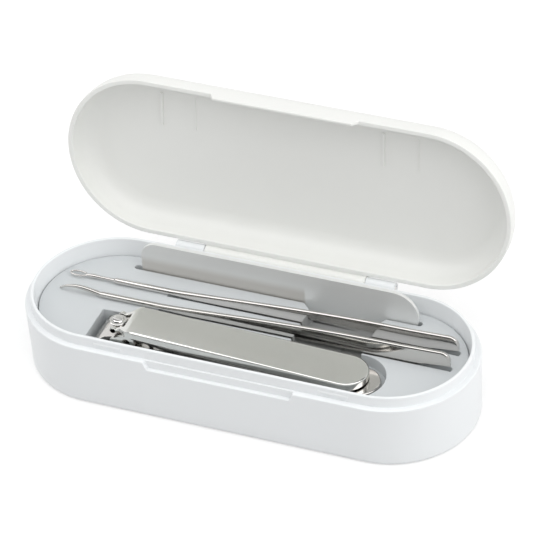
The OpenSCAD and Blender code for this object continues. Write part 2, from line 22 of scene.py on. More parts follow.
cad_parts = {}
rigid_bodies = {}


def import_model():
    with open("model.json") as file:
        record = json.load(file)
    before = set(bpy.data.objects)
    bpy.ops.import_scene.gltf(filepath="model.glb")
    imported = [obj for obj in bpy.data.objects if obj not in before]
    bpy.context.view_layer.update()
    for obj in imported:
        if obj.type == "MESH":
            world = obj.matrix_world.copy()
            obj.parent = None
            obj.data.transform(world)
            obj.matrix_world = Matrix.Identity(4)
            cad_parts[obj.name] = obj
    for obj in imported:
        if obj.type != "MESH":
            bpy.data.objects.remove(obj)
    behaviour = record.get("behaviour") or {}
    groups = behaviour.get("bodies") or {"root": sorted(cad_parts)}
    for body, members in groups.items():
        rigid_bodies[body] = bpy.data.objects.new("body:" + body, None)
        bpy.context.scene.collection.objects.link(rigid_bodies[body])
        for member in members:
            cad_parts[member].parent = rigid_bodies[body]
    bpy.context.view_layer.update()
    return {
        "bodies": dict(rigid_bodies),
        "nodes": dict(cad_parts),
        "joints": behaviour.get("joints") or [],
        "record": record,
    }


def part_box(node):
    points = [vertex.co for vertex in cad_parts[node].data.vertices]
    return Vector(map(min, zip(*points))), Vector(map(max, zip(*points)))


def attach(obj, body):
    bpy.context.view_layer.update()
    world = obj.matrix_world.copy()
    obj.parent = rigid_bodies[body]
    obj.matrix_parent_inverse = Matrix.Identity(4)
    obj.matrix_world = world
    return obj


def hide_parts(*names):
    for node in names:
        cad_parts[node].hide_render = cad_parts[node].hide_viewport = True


LOG = logging.getLogger("manicure_case")
MM = 0.001
SAME_POINT = 2e-6
SEAM = 1e-7
QUARTER = math.pi / 2
WHITE = (1.0, 1.0, 1.0)

Colour = tuple[float, float, float]
Point = tuple[float, float]
Point3 = tuple[float, float, float]
Sockets = dict[str | int, object]
Reshape = Callable[[float, int], Point3]


class Slot(Enum):
    """The record's material slots."""

    CASE = "case_white"
    TRAY = "tray_grey"
    POLISHED = "steel_polished"
    SATIN = "steel_satin"


class Effect(Enum):
    """Surface effects that several finishes share."""

    MOTTLE = "mottle"
    BRUSHING = "brushing"


class Graph:
    """Small helper that adds and joins nodes in one node tree."""

    def __init__(self, tree: NodeTree) -> None:
        """Keeps the tree that nodes are added to."""
        self.tree = tree

    def give(self, target: NodeSocket, value: object) -> None:
        """Links an input to an output socket, or sets it.

        Args:
            target: the input.
            value: an output socket, a number, a vector or a colour.
        """
        if isinstance(value, NodeSocket):
            self.tree.links.new(value, target)
        else:
            target.default_value = (*value, 1.0) if target.type == "RGBA" else value

    def feed(self, node: Node, sockets: Sockets) -> None:
        """Gives values to a node's inputs by name or number."""
        for name, value in sockets.items():
            self.give(node.inputs[name], value)

    def add(self, kind: str, sockets: Sockets | None = None, **values: object) -> Node:
        """Adds a node, sets its properties and feeds its inputs.

        Args:
            kind: the node's type name.
            sockets: values of its inputs by name or number.
            values: its properties by name.

        Returns:
            The new node.
        """
        node = self.tree.nodes.new(kind)
        count = len(self.tree.nodes)
        node.location = (count * 180, -(count % 7) * 160)
        for key, value in values.items():
            setattr(node, key, value)
        self.feed(node, sockets or {})
        return node

    def maths(self, operation: str, *terms: object) -> NodeSocket:
        """Adds a Math node with its terms in order and returns its result."""
        return self.add("ShaderNodeMath", dict(enumerate(terms)), operation=operation).outputs[0]

    def times(self, first: object, *others: object) -> NodeSocket:
        """Multiplies terms.

        Args:
            first: the first number or socket.
            others: the other ones, in order.

        Returns:
            The product.
        """
        for other in others:
            first = self.maths("MULTIPLY", first, other)
        return first

    def plus(self, first: object, second: object) -> NodeSocket:
        """Adds two terms."""
        return self.maths("ADD", first, second)

    def remap(self, value: NodeSocket, source: Point, result: Point = (0.0, 1.0)) -> NodeSocket:
        """Maps a value from one range to another, smoothly and clamped.

        Args:
            value: the value to map.
            source: start and end of its range.
            result: what it becomes at the start and the end.

        Returns:
            The mapped value.
        """
        names = ("Value", "From Min", "From Max", "To Min", "To Max")
        sockets = dict(zip(names, (value, *source, *result)))
        kind = "ShaderNodeMapRange"
        return self.add(kind, sockets, interpolation_type="SMOOTHSTEP", clamp=True).outputs["Result"]

    def noise(self, vector: NodeSocket, scale: object, detail: float, roughness: float = 0.5) -> NodeSocket:
        """Adds a noise.

        Args:
            vector: the coordinates it reads.
            scale: its scale, a number or a socket.
            detail: its finer layers.
            roughness: how strong they are.

        Returns:
            The noise, from 0 to 1.
        """
        sockets = {"Vector": vector, "Scale": scale, "Detail": detail, "Roughness": roughness}
        return self.add("ShaderNodeTexNoise", sockets).outputs[0]

    def bump(self, strength: float, depth: float, height: NodeSocket) -> NodeSocket:
        """Makes normals of a relief of some strength, depth in metres and height."""
        return self.add("ShaderNodeBump", {"Strength": strength, "Distance": depth, "Height": height}).outputs[0]

    def axes(self, vector: NodeSocket) -> Iterable[NodeSocket]:
        """Splits a vector into X, Y and Z."""
        return self.add("ShaderNodeSeparateXYZ", {0: vector}).outputs


class Effects:
    """Shader node groups of the shared effects, each built once."""

    def __init__(self) -> None:
        """Builds no group until a finish asks for it."""
        self._made: dict[Effect, NodeTree] = {}

    @staticmethod
    def _start(effect: Effect, inputs: dict[str, float], outputs: tuple[str, ...]) -> tuple[Graph, Node, Node]:
        """Makes a group that takes a vector and numbers and gives numbers.

        Args:
            effect: the effect that the group is for.
            inputs: the numbers' names and defaults.
            outputs: the results' names.

        Returns:
            A graph on the group, its input node and its output node.
        """
        tree = bpy.data.node_groups.new(effect.value, "ShaderNodeTree")
        tree.interface.new_socket(name="Vector", in_out="INPUT", socket_type="NodeSocketVector")
        for label, value in inputs.items():
            made = tree.interface.new_socket(name=label, in_out="INPUT", socket_type="NodeSocketFloat")
            made.default_value = value
        for label in outputs:
            tree.interface.new_socket(name=label, in_out="OUTPUT", socket_type="NodeSocketFloat")
        graph = Graph(tree)
        return graph, graph.add("NodeGroupInput"), graph.add("NodeGroupOutput")

    def _mottle(self, finer: float = 6.3, share: float = 0.35) -> NodeTree:
        """Soft uneven patches, as in the colour and sheen of a moulded or polished surface.

        Args:
            finer: how much smaller the second layer's patches are.
            share: how strong that layer is.

        Returns:
            A group that takes Vector, Size and Contrast and gives a value round 0.
        """
        graph, given, result = self._start(Effect.MOTTLE, {"Size": 120.0, "Contrast": 1.0}, ("Value",))
        vector, size, contrast = given.outputs[:3]
        broad = graph.noise(vector, size, 3.0, 0.55)
        fine = graph.noise(vector, graph.times(size, finer), 2.0)
        centred = graph.maths("SUBTRACT", graph.plus(broad, graph.times(fine, share)), (1 + share) / 2)
        graph.give(result.inputs["Value"], graph.times(centred, contrast))
        return graph.tree

    def _brushing(self, stretch: float = 0.03, slower: float = 0.12) -> NodeTree:
        """Fine parallel scratches along a piece, left by a polishing belt.

        Args:
            stretch: scale along the lines against across them.
            slower: scale of the slow change against the lines.

        Returns:
            A group that takes Vector and Fineness and gives Lines and a slower Wander.
        """
        graph, given, result = self._start(Effect.BRUSHING, {"Fineness": 900.0}, ("Lines", "Wander"))
        vector, fineness = given.outputs[:2]
        drawn = graph.add("ShaderNodeMapping", {"Vector": vector, "Scale": (stretch, 1.0, 1.0)}).outputs[0]
        graph.give(result.inputs["Lines"], graph.noise(drawn, fineness, 4.0, 0.7))
        graph.give(result.inputs["Wander"], graph.noise(drawn, graph.times(fineness, slower), 1.0))
        return graph.tree

    def place(self, graph: Graph, effect: Effect, vector: NodeSocket, **values: float) -> Node:
        """Puts a shared group into a material with its own values.

        Args:
            graph: the material's graph.
            effect: the effect wanted.
            vector: the coordinates it reads.
            values: its other inputs by name.

        Returns:
            The group node.
        """
        if effect not in self._made:
            self._made[effect] = {Effect.MOTTLE: self._mottle, Effect.BRUSHING: self._brushing}[effect]()
        node = graph.add("ShaderNodeGroup", node_tree=self._made[effect])
        graph.feed(node, {"Vector": vector, **values})
        return node


def new_material(name: str) -> tuple[Material, Graph, Node]:
    """Starts a node material that holds only a Principled shader.

    Args:
        name: the material's name.

    Returns:
        The material, a graph on its tree, and its shader node.
    """
    material = bpy.data.materials.new(name)
    material.use_nodes = True
    material.node_tree.nodes.clear()
    graph = Graph(material.node_tree)
    shader = graph.add("ShaderNodeBsdfPrincipled")
    graph.add("ShaderNodeOutputMaterial", {"Surface": shader.outputs[0]})
    return material, graph, shader


@dataclass(frozen=True)
class Finish:
    """What every finish has: name, record's slot, colour, roughness and strength of its fine relief."""

    name: str
    slot: Slot
    colour: Colour
    roughness: float
    relief: float

    def build(self, effects: Effects) -> Material:
        """Makes the material.

        Args:
            effects: the shared node groups.

        Returns:
            The finished material.
        """
        material, graph, shader = new_material(self.name)
        spot = graph.add("ShaderNodeTexCoord").outputs["Object"]
        graph.feed(shader, self.inputs(graph, effects, spot))
        return material

    def inputs(self, graph: Graph, effects: Effects, spot: NodeSocket) -> Sockets:
        """Gives the shader's inputs that make this finish."""
        raise NotImplementedError

    def shaded(self, graph: Graph, factor: NodeSocket) -> NodeSocket:
        """Scales the finish's colour by a factor."""
        return graph.add("ShaderNodeVectorMath", {0: self.colour, "Scale": factor}, operation="SCALE").outputs[0]


@dataclass(frozen=True)
class Plastic(Finish):
    """Injection-moulded plastic: even colour with faint flow patches and a fine skin texture."""

    patch: float = 70.0
    tint: float = 0.02
    sheen_finer: float = 4.0
    sheen: float = 0.12
    grain: float = 2600.0
    grain_depth: float = 0.00002
    ior: float = 1.49

    def inputs(self, graph: Graph, effects: Effects, spot: NodeSocket) -> Sockets:
        """Gives the shader's inputs that make this finish.

        Args:
            graph: the material's graph.
            effects: the shared node groups.
            spot: object coordinates.

        Returns:
            The inputs by name.
        """
        flow = effects.place(graph, Effect.MOTTLE, spot, Size=self.patch, Contrast=self.tint)
        sheen = effects.place(graph, Effect.MOTTLE, spot, Size=self.patch * self.sheen_finer, Contrast=self.sheen)
        return {
            "Base Color": self.shaded(graph, graph.plus(flow.outputs[0], 1.0)),
            "Roughness": graph.plus(sheen.outputs[0], self.roughness),
            "Normal": graph.bump(self.relief, self.grain_depth, graph.noise(spot, self.grain, 2.0)),
            "IOR": self.ior,
        }


@dataclass(frozen=True)
class Steel(Finish):
    """Plated or ground steel with belt lines along the piece and a faintly uneven polish."""

    fineness: float = 900.0
    line_depth: float = 0.00001
    wander: float = 0.05
    cloud: float = 160.0
    unevenness: float = 0.05
    smoothest: float = 0.03
    metal: float = 1.0

    def inputs(self, graph: Graph, effects: Effects, spot: NodeSocket) -> Sockets:
        """Gives the shader's inputs that make this finish.

        Args:
            graph: the material's graph.
            effects: the shared node groups.
            spot: object coordinates.

        Returns:
            The inputs by name.
        """
        belt = effects.place(graph, Effect.BRUSHING, spot, Fineness=self.fineness)
        cloud = effects.place(graph, Effect.MOTTLE, spot, Size=self.cloud, Contrast=self.unevenness)
        tone = graph.plus(graph.times(belt.outputs["Wander"], self.wander), 1 - self.wander / 2)
        rough = graph.plus(cloud.outputs[0], self.roughness)
        height = self.grooved(graph, spot, belt.outputs["Lines"])
        return {
            "Base Color": self.tinted(graph, spot, self.shaded(graph, tone)),
            "Metallic": self.metal,
            "Roughness": graph.maths("MAXIMUM", rough, self.smoothest),
            "Normal": graph.bump(self.relief, self.line_depth, height),
        }

    def tinted(self, graph: Graph, spot: NodeSocket, colour: NodeSocket) -> NodeSocket:
        """Leaves the colour as it is."""
        return colour

    def grooved(self, graph: Graph, spot: NodeSocket, lines: NodeSocket) -> NodeSocket:
        """Leaves the belt lines as they are."""
        return lines


@dataclass(frozen=True)
class FileSteel(Steel):
    """Ground steel with a gritted strip along the lower part of a file's blade, which fades out upward; in the
    strip the colour is darkened as painted shade.
    """

    strip_x: Point = (-37.6, 8.8)
    strip_z: Point = (18.4, 21.2)
    # painted shade: colour factor that darkens the blade's lower strip
    painted_shade_tone: Colour = (0.755, 0.725, 0.695)
    end_blur: float = 0.8
    grit: float = 6500.0

    def strip(self, graph: Graph, spot: NodeSocket) -> NodeSocket:
        """Makes the mask of the gritted strip, which also places the painted shade.

        Args:
            graph: the material's graph.
            spot: object coordinates, in metres.

        Returns:
            A mask that is 1 in the strip.
        """
        along, _, up = graph.axes(spot)
        (start, end), (low, high) = self.strip_x, self.strip_z
        after = graph.remap(along, ((start - self.end_blur) * MM, start * MM))
        before = graph.remap(along, (end * MM, (end + self.end_blur) * MM), (1.0, 0.0))
        return graph.times(after, before, graph.remap(up, (low * MM, high * MM), (1.0, 0.0)))

    def tinted(self, graph: Graph, spot: NodeSocket, colour: NodeSocket) -> NodeSocket:
        """Darkens the colour in the strip as painted shade.

        Args:
            graph: the material's graph.
            spot: object coordinates.
            colour: the plain steel's colour.

        Returns:
            The colour with the painted shade in the strip.
        """
        # painted shade: the steel colour is darkened in the strip and fades out upward
        dark = graph.add("ShaderNodeVectorMath", {0: colour, 1: self.painted_shade_tone}, operation="MULTIPLY").outputs[0]
        mix = graph.add("ShaderNodeMix", data_type="RGBA")
        graph.feed(mix, {0: self.strip(graph, spot), 6: colour, 7: dark})
        return mix.outputs[2]

    def grooved(self, graph: Graph, spot: NodeSocket, lines: NodeSocket) -> NodeSocket:
        """Adds grit to the belt lines in the strip.

        Args:
            graph: the material's graph.
            spot: object coordinates.
            lines: the belt lines' height.

        Returns:
            The height with the grit.
        """
        grit = graph.add("ShaderNodeTexVoronoi", {"Vector": spot, "Scale": self.grit}).outputs["Distance"]
        return graph.plus(graph.times(self.strip(graph, spot), grit), lines)


class Finishes:
    """Every finish of the object, each made when a piece first asks for it."""

    CASE = Plastic("moulded_white", Slot.CASE, (0.848, 0.868, 0.88), 0.34, 0.18)
    # painted light: a warmer copy of the case white, standing in for the warm light on the lid's inside
    LID = Plastic("moulded_white_warm_light", Slot.CASE, (0.873, 0.878, 0.852), 0.36, 0.18)
    TRAY = Plastic("moulded_pale_grey", Slot.TRAY, (0.59, 0.615, 0.628), 0.46, 0.3, patch=90.0)
    POLISHED = Steel("nickel_polished", Slot.POLISHED, (0.72, 0.70, 0.68), 0.09, 0.10)
    CHROME = Steel("chrome_polished", Slot.POLISHED, (0.88, 0.87, 0.86), 0.06, 0.06)
    WIRE = Steel("wire_polished", Slot.POLISHED, (0.72, 0.70, 0.68), 0.11, 0.12, fineness=1400.0)
    # painted shade: a darker copy of the polished wire, for the front pick whose face mirrors darker surroundings
    WIRE_PAINTED_SHADE = Steel("wire_painted_shade", Slot.POLISHED, (0.655, 0.64, 0.615), 0.13, 0.14, fineness=1400.0)
    LEVER = Steel("lever_satin", Slot.SATIN, (0.84, 0.84, 0.81), 0.17, 0.12, fineness=1100.0)
    FILE = FileSteel("file_ground", Slot.SATIN, (0.81, 0.82, 0.81), 0.36, 0.35, fineness=1300.0, metal=0.4)

    def __init__(self) -> None:
        """Starts with no material made."""
        self.effects = Effects()
        self._made: dict[str, Material] = {}

    def get(self, finish: Finish) -> Material:
        """Returns a finish's material, made on first use.

        Args:
            finish: the finish wanted.

        Returns:
            Its material.
        """
        if finish.name not in self._made:
            self._made[finish.name] = finish.build(self.effects)
        return self._made[finish.name]


def picked(items: Iterable, kind: type) -> list:
    """Picks the vertices or the edges out of what an operator made."""
    return [item for item in items if isinstance(item, kind)]


def chain(mesh: BMesh, points: Iterable[Point3], closed: bool = False) -> tuple[list[BMVert], list[BMEdge]]:
    """Joins points by edges.

    Args:
        mesh: the shape they are added to.
        points: the points in order.
        closed: whether the last one is joined to the first.

    Returns:
        The vertices and the edges.
    """
    verts = [mesh.verts.new(point) for point in points]
    ends = verts[1:] + verts[:1] if closed else verts[1:]
    return verts, [mesh.edges.new(pair) for pair in zip(verts, ends)]


def hard_edges(mesh: BMesh, sharp: float) -> list[BMEdge]:
    """Lists the edges where two faces meet at more than an angle in degrees."""
    limit = math.radians(sharp)
    return [edge for edge in mesh.edges if len(edge.link_faces) == 2 and edge.calc_face_angle(0.0) > limit]


def ease_edges(mesh: BMesh, edges: list[BMEdge], width: float, segments: int) -> None:
    """Rounds edges by a width in millimetres.

    Args:
        mesh: the shape.
        edges: the edges to round.
        width: width of the rounding.
        segments: steps across it.
    """
    bmesh.ops.bevel(
        mesh,
        geom=edges,
        offset=width * MM,
        offset_type="OFFSET",
        segments=segments,
        profile=0.5,
        affect="EDGES",
        clamp_overlap=False,
        material=-1,
    )


def full_turn(mesh: BMesh, steps: int) -> None:
    """Spins a flat outline once round the Z axis and closes the seam.

    Args:
        mesh: the outline, beside the axis or from axis to axis.
        steps: faces round the axis.
    """
    bmesh.ops.spin(
        mesh,
        geom=mesh.verts[:] + mesh.edges[:],
        cent=(0.0, 0.0, 0.0),
        axis=(0.0, 0.0, 1.0),
        angle=math.tau,
        steps=steps,
        use_merge=True,
        use_duplicate=False,
    )
    bmesh.ops.remove_doubles(mesh, verts=mesh.verts, dist=SEAM)
    bmesh.ops.recalc_face_normals(mesh, faces=mesh.faces)


def turned(profile: Iterable[Point], steps: int = 40) -> BMesh:
    """Turns a profile of radius and height round the Z axis, as on a lathe.

    Args:
        profile: points from the lower end on the axis to the upper end on the axis, in millimetres.
        steps: faces round the axis.

    Returns:
        The closed shape.
    """
    mesh = bmesh.new()
    chain(mesh, [(radius * MM, 0.0, height * MM) for radius, height in profile])
    full_turn(mesh, steps)
    return mesh


def domed_pin(radius: float, length: float, dome: float) -> list[Point]:
    """Profile of a pin with lightly domed ends, centred on the origin.

    Args:
        radius: the pin's radius.
        length: its whole length.
        dome: how far each end bulges.

    Returns:
        Points of radius and height.
    """
    bend = ((1.0, 1.0), (0.94, 0.55), (0.75, 0.2), (0.4, 0.05), (0.0, 0.0))
    upper = [(radius * wide, length / 2 - dome * down) for wide, down in bend]
    return [(r, -z) for r, z in reversed(upper)] + upper


def at(x: float, y: float, z: float) -> Matrix:
    """Moves by millimetres."""
    return Matrix.Translation(Vector((x, y, z)) * MM)


def clipped(share: float) -> float:
    """Keeps a share between 0 and 1."""
    return min(1.0, max(0.0, share))


def smooth(share: float) -> float:
    """Rises smoothly from 0 to 1 with a share."""
    share = clipped(share)
    return share * share * (3 - 2 * share)


def arc(centre: Point, radius: float, start: float, end: float, steps: int) -> list[Point]:
    """Points on an arc, from a start angle to an end angle in degrees."""
    turns = [math.radians(start + (end - start) * k / steps) for k in range(steps + 1)]
    return [(centre[0] + radius * math.cos(a), centre[1] + radius * math.sin(a)) for a in turns]


def step_in(place: float, edge: float, width: float) -> float:
    """Rises smoothly from 0 to 1 where a distance from the middle drops below an edge."""
    return smooth((edge - abs(place)) / width + 0.5)


def cuts(edge: float, width: float, steps: int = 6) -> list[float]:
    """Stations on both sides of the middle, close together where a step lies."""
    near = [edge + width * (k / steps - 0.5) for k in range(steps + 1)]
    return [-place for place in near] + near


def between(first: Point, second: Point, share: float) -> Point:
    """Point between two points."""
    return (first[0] + (second[0] - first[0]) * share, first[1] + (second[1] - first[1]) * share)


def add_bar(mesh: BMesh, low: Point3, high: Point3, edge: float) -> None:
    """Adds a bar with eased edges between two corners.

    Args:
        mesh: the shape it is added to, in metres.
        low: its lower corner, in millimetres.
        high: its upper corner, in millimetres.
        edge: width of the rounding.
    """
    size = [(b - a) * MM for a, b in zip(low, high)]
    middle = at(*((a + b) / 2 for a, b in zip(low, high)))
    made = bmesh.ops.create_cube(mesh, size=1.0, matrix=middle @ Matrix.Diagonal((*size, 1.0)))
    ease_edges(mesh, list({link for vert in made["verts"] for link in vert.link_edges}), edge, 2)


def add_mesh(mesh: BMesh, other: BMesh, matrix: Matrix) -> None:
    """Adds another shape to a shape.

    Args:
        mesh: the shape it is added to.
        other: the other shape. It is freed.
        matrix: where that one goes.
    """
    other.transform(matrix)
    store = bpy.data.meshes.new("store")
    other.to_mesh(store)
    other.free()
    mesh.from_mesh(store)
    bpy.data.meshes.remove(store)


@dataclass
class Workshop:
    """Turns finished bmeshes into pieces that ride on the frame."""

    frame: dict
    finishes: Finishes
    even_weight: int = 60
    flat_under: float = 0.4
    made: list[str] = field(default_factory=list)

    def place(
        self,
        mesh: BMesh,
        name: str,
        body: str,
        finish: Finish,
        node: str | None = None,
        smooth_under: float = 32.0,
        even_faces: bool = True,
    ) -> None:
        """Makes an object of a bmesh, dresses it and lets it ride on its body.

        Args:
            mesh: the finished shape, in metres in the frame. It is freed.
            name: the piece's name.
            body: the CAD body that it rides on.
            finish: the finish that it wears.
            node: the CAD node that it stands for.
            smooth_under: edges that bend less than this many degrees are shaded smooth.
            even_faces: whether broad faces keep their own direction up to their edges.
        """
        data = bpy.data.meshes.new(name)
        mesh.to_mesh(data)
        mesh.free()
        data.shade_smooth()
        data.set_sharp_from_angle(angle=math.radians(smooth_under))
        data.materials.append(self.finishes.get(finish))
        piece = bpy.data.objects.new(name, data)
        bpy.context.scene.collection.objects.link(piece)
        if even_faces:
            even = piece.modifiers.new("even_faces", "WEIGHTED_NORMAL")
            even.keep_sharp = True
            even.weight = self.even_weight
        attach(piece, body)
        if node:
            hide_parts(node)
        self.made.append(name)
        LOG.info("%s on %s: %d faces", name, body, len(data.polygons))

    def eased_copy(
        self, node: str, width: float, sharp: float = 30.0, keen: tuple[float, float] | None = None
    ) -> BMesh:
        """Copies a CAD node and rounds its hard edges, as a mould or a polishing wheel leaves them.

        Args:
            node: the CAD node.
            width: width of the rounding, in millimetres.
            sharp: edges that bend more than this many degrees are rounded.
            keen: an X from which the edges get another width, and that width, in millimetres.

        Returns:
            The eased shape.
        """
        mesh = bmesh.new()
        mesh.from_mesh(self.frame["nodes"][node].data)
        bmesh.ops.remove_doubles(mesh, verts=mesh.verts, dist=SAME_POINT)
        limit = math.radians(self.flat_under)
        bmesh.ops.dissolve_limit(
            mesh, angle_limit=limit, verts=mesh.verts, edges=mesh.edges, use_dissolve_boundaries=False
        )
        if keen is not None:
            rear = [edge for edge in hard_edges(mesh, sharp) if min(v.co.x for v in edge.verts) > keen[0] * MM]
            ease_edges(mesh, rear, keen[1], 4)
        ease_edges(mesh, hard_edges(mesh, sharp), width, 3)
        bmesh.ops.remove_doubles(mesh, verts=mesh.verts, dist=SAME_POINT)
        return mesh

    def lay_pin(self, node: str, name: str, body: str, dome: float, steps: int = 40) -> None:
        """Turns a pin along the longer level side of a CAD node and places it.

        Args:
            node: the CAD node that it stands for.
            name: the piece's name.
            body: the CAD body that it rides on.
            dome: how far its ends bulge, in millimetres.
            steps: faces round it.
        """
        low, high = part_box(node)
        wide, deep, thick = (high - low) / MM
        pin = turned(domed_pin(thick / 2, max(wide, deep), dome), steps)
        turn = Matrix.Rotation(QUARTER, 4, "Y" if wide > deep else "X")
        pin.transform(Matrix.Translation((low + high) / 2) @ turn)
        self.place(pin, name, body, Finishes.POLISHED, node)


@dataclass(frozen=True)
class CaseSizes:
    """Sizes that the case's mouldings and hinge share, in millimetres."""

    half_width: float = 22.65
    half_straight: float = 38.35
    shoulder_z: float = 18.1
    lip_z: float = 21.05
    rim_z: float = 18.2
    lid_top: float = 27.2
    ceiling_z: float = 25.7
    floor: float = 1.8
    wall: float = 2.5
    rim: float = 1.3
    lip_inset: float = 1.6
    taper: float = 0.6
    tray_z: float = 16.2
    tray_under: float = 15.0
    lean: float = 0.379
    foot: float = 1.2
    crown: float = 6.5
    skin: float = 1.5
    tab_half: float = 20.0
    tab_drop: float = 2.0
    tab_thick: float = 0.8
    tab_slant: float = 1.0
    tab_play: float = 0.3
    hinge_y: float = 24.55
    hinge_z: float = 18.15
    hinge_half: float = 30.5
    end_knuckle: float = 8.0
    knuckle_play: float = 0.15
    barrel: float = 1.6
    open_angle: float = 97.3
    snap_x: float = 30.6
    snap_half: float = 4.0
    snap_z: float = 19.36
    snap_radius: float = 0.8
    seats: tuple[float, ...] = (-35.0, -13.0, 7.0, 35.0)

    @property
    def hinge(self) -> Matrix:
        """Moves from the origin to the hinge's axis."""
        return at(0.0, self.hinge_y, self.hinge_z)

    @property
    def hinge_off(self) -> float:
        """Y of the case's rear face, seen from the hinge's axis."""
        return self.half_width - self.hinge_y

    @property
    def notch_z(self) -> float:
        """Height of the thumb notch's lower edge."""
        return self.shoulder_z - self.tab_drop - self.tab_play

    def wall_at(self, height: float) -> Point:
        """Point of the base's outer face at a height."""
        drop = (self.shoulder_z - height) / (self.shoulder_z - self.foot)
        return (self.half_width - self.lean * drop, height)

    def slanted(self, place: float, share: float) -> float:
        """Moves a place inward as the tab's sides slant, at a share of its drop."""
        return place - math.copysign(self.tab_slant * clipped(share), place)


@dataclass
class Pill:
    """A skin swept round a pill-shaped path: half turns at both ends joined by straight runs."""

    half_straight: float
    turn_steps: int = 56
    same_point: float = 1e-4

    def sweep(self, profile: list[Point], stations: list[float], reshape: Reshape) -> BMesh:
        """Spins and extrudes a profile of radius and height round the path.

        Args:
            profile: points from the middle line out and back to the middle line, in millimetres.
            stations: places along the long runs where they are cut, from left to right.
            reshape: place along the front run, radius and height of a point, given its station and its number.

        Returns:
            The closed skin in metres, front at -Y.
        """
        mesh = bmesh.new()
        number = mesh.verts.layers.int.new("number")
        half = self.half_straight
        row, edges = chain(mesh, [(half, -radius, height) for radius, height in profile])
        for index, vert in enumerate(row):
            vert[number] = index
        for side in (1.0, -1.0):
            here = side * half
            made = bmesh.ops.spin(
                mesh,
                geom=edges,
                cent=(here, 0.0, 0.0),
                axis=(0.0, 0.0, 1.0),
                angle=math.pi,
                steps=self.turn_steps,
                use_duplicate=False,
            )
            edges = picked(made["geom_last"], BMEdge)
            for place in sorted([*stations, -here], reverse=side > 0):
                grown = bmesh.ops.extrude_edge_only(mesh, edges=edges)["geom"]
                fresh, edges = picked(grown, BMVert), picked(grown, BMEdge)
                bmesh.ops.translate(mesh, verts=fresh, vec=(place - here, 0.0, 0.0))
                here = place
                for vert in fresh if side < 0 else []:
                    index = vert[number]
                    x, radius, height = reshape(place, index) if place in stations else (place, *profile[index])
                    vert.co = (x, -radius, height)
        bmesh.ops.remove_doubles(mesh, verts=mesh.verts, dist=self.same_point)
        bmesh.ops.recalc_face_normals(mesh, faces=mesh.faces)
        bmesh.ops.scale(mesh, verts=mesh.verts, vec=(MM, MM, MM))
        return mesh


@dataclass
class Knuckle:
    """A hinge knuckle: barrel with a bore, and webs that join it to its moulding."""

    sizes: CaseSizes
    bore: float
    webs: list[list[Point]]
    edge: float = 0.1
    sides: int = 72

    def _reach(self, angle: float) -> float:
        """Distance from the axis to the outline at an angle.

        Args:
            angle: direction round the axis, in radians.

        Returns:
            The distance, in millimetres.
        """
        far, slack = self.sizes.barrel, 1e-6
        aim = (math.cos(angle), math.sin(angle))
        for web in self.webs:
            for (y0, z0), (y1, z1) in zip(web, web[1:] + web[:1]):
                run, rise = y1 - y0, z1 - z0
                under = aim[0] * rise - aim[1] * run
                if abs(under) < 1e-9:
                    continue
                along = (aim[1] * y0 - aim[0] * z0) / under
                distance = (y0 * rise - z0 * run) / under
                if -slack <= along <= 1 + slack and distance > far:
                    far = distance
        return far

    def build(self, start: float, length: float) -> BMesh:
        """Builds the knuckle from a place along the hinge.

        Args:
            start: its left end.
            length: its length.

        Returns:
            The solid in metres, with the hinge's axis at the origin.
        """
        corners = {round(math.atan2(z, y) % math.tau, 5) for web in self.webs for y, z in web}
        angles = sorted(corners | {round(math.tau * k / self.sides, 5) for k in range(self.sides)})
        mesh = bmesh.new()
        loops = []
        for reach in (self._reach, lambda _: self.bore):
            ring = [(start * MM, reach(a) * math.cos(a) * MM, reach(a) * math.sin(a) * MM) for a in angles]
            loops += chain(mesh, ring, closed=True)[1]
        bmesh.ops.bridge_loops(mesh, edges=loops)
        grown = bmesh.ops.extrude_face_region(mesh, geom=mesh.faces[:])["geom"]
        bmesh.ops.translate(mesh, verts=picked(grown, BMVert), vec=(length * MM, 0.0, 0.0))
        bmesh.ops.recalc_face_normals(mesh, faces=mesh.faces)
        rim = (self.sizes.barrel + 0.02) * MM
        ends = [
            link
            for link in hard_edges(mesh, 60.0)
            if abs(link.verts[0].co.x - link.verts[1].co.x) < SEAM
            and math.hypot(link.verts[0].co.y, link.verts[0].co.z) < rim
        ]
        ease_edges(mesh, ends, self.edge, 2)
        return mesh


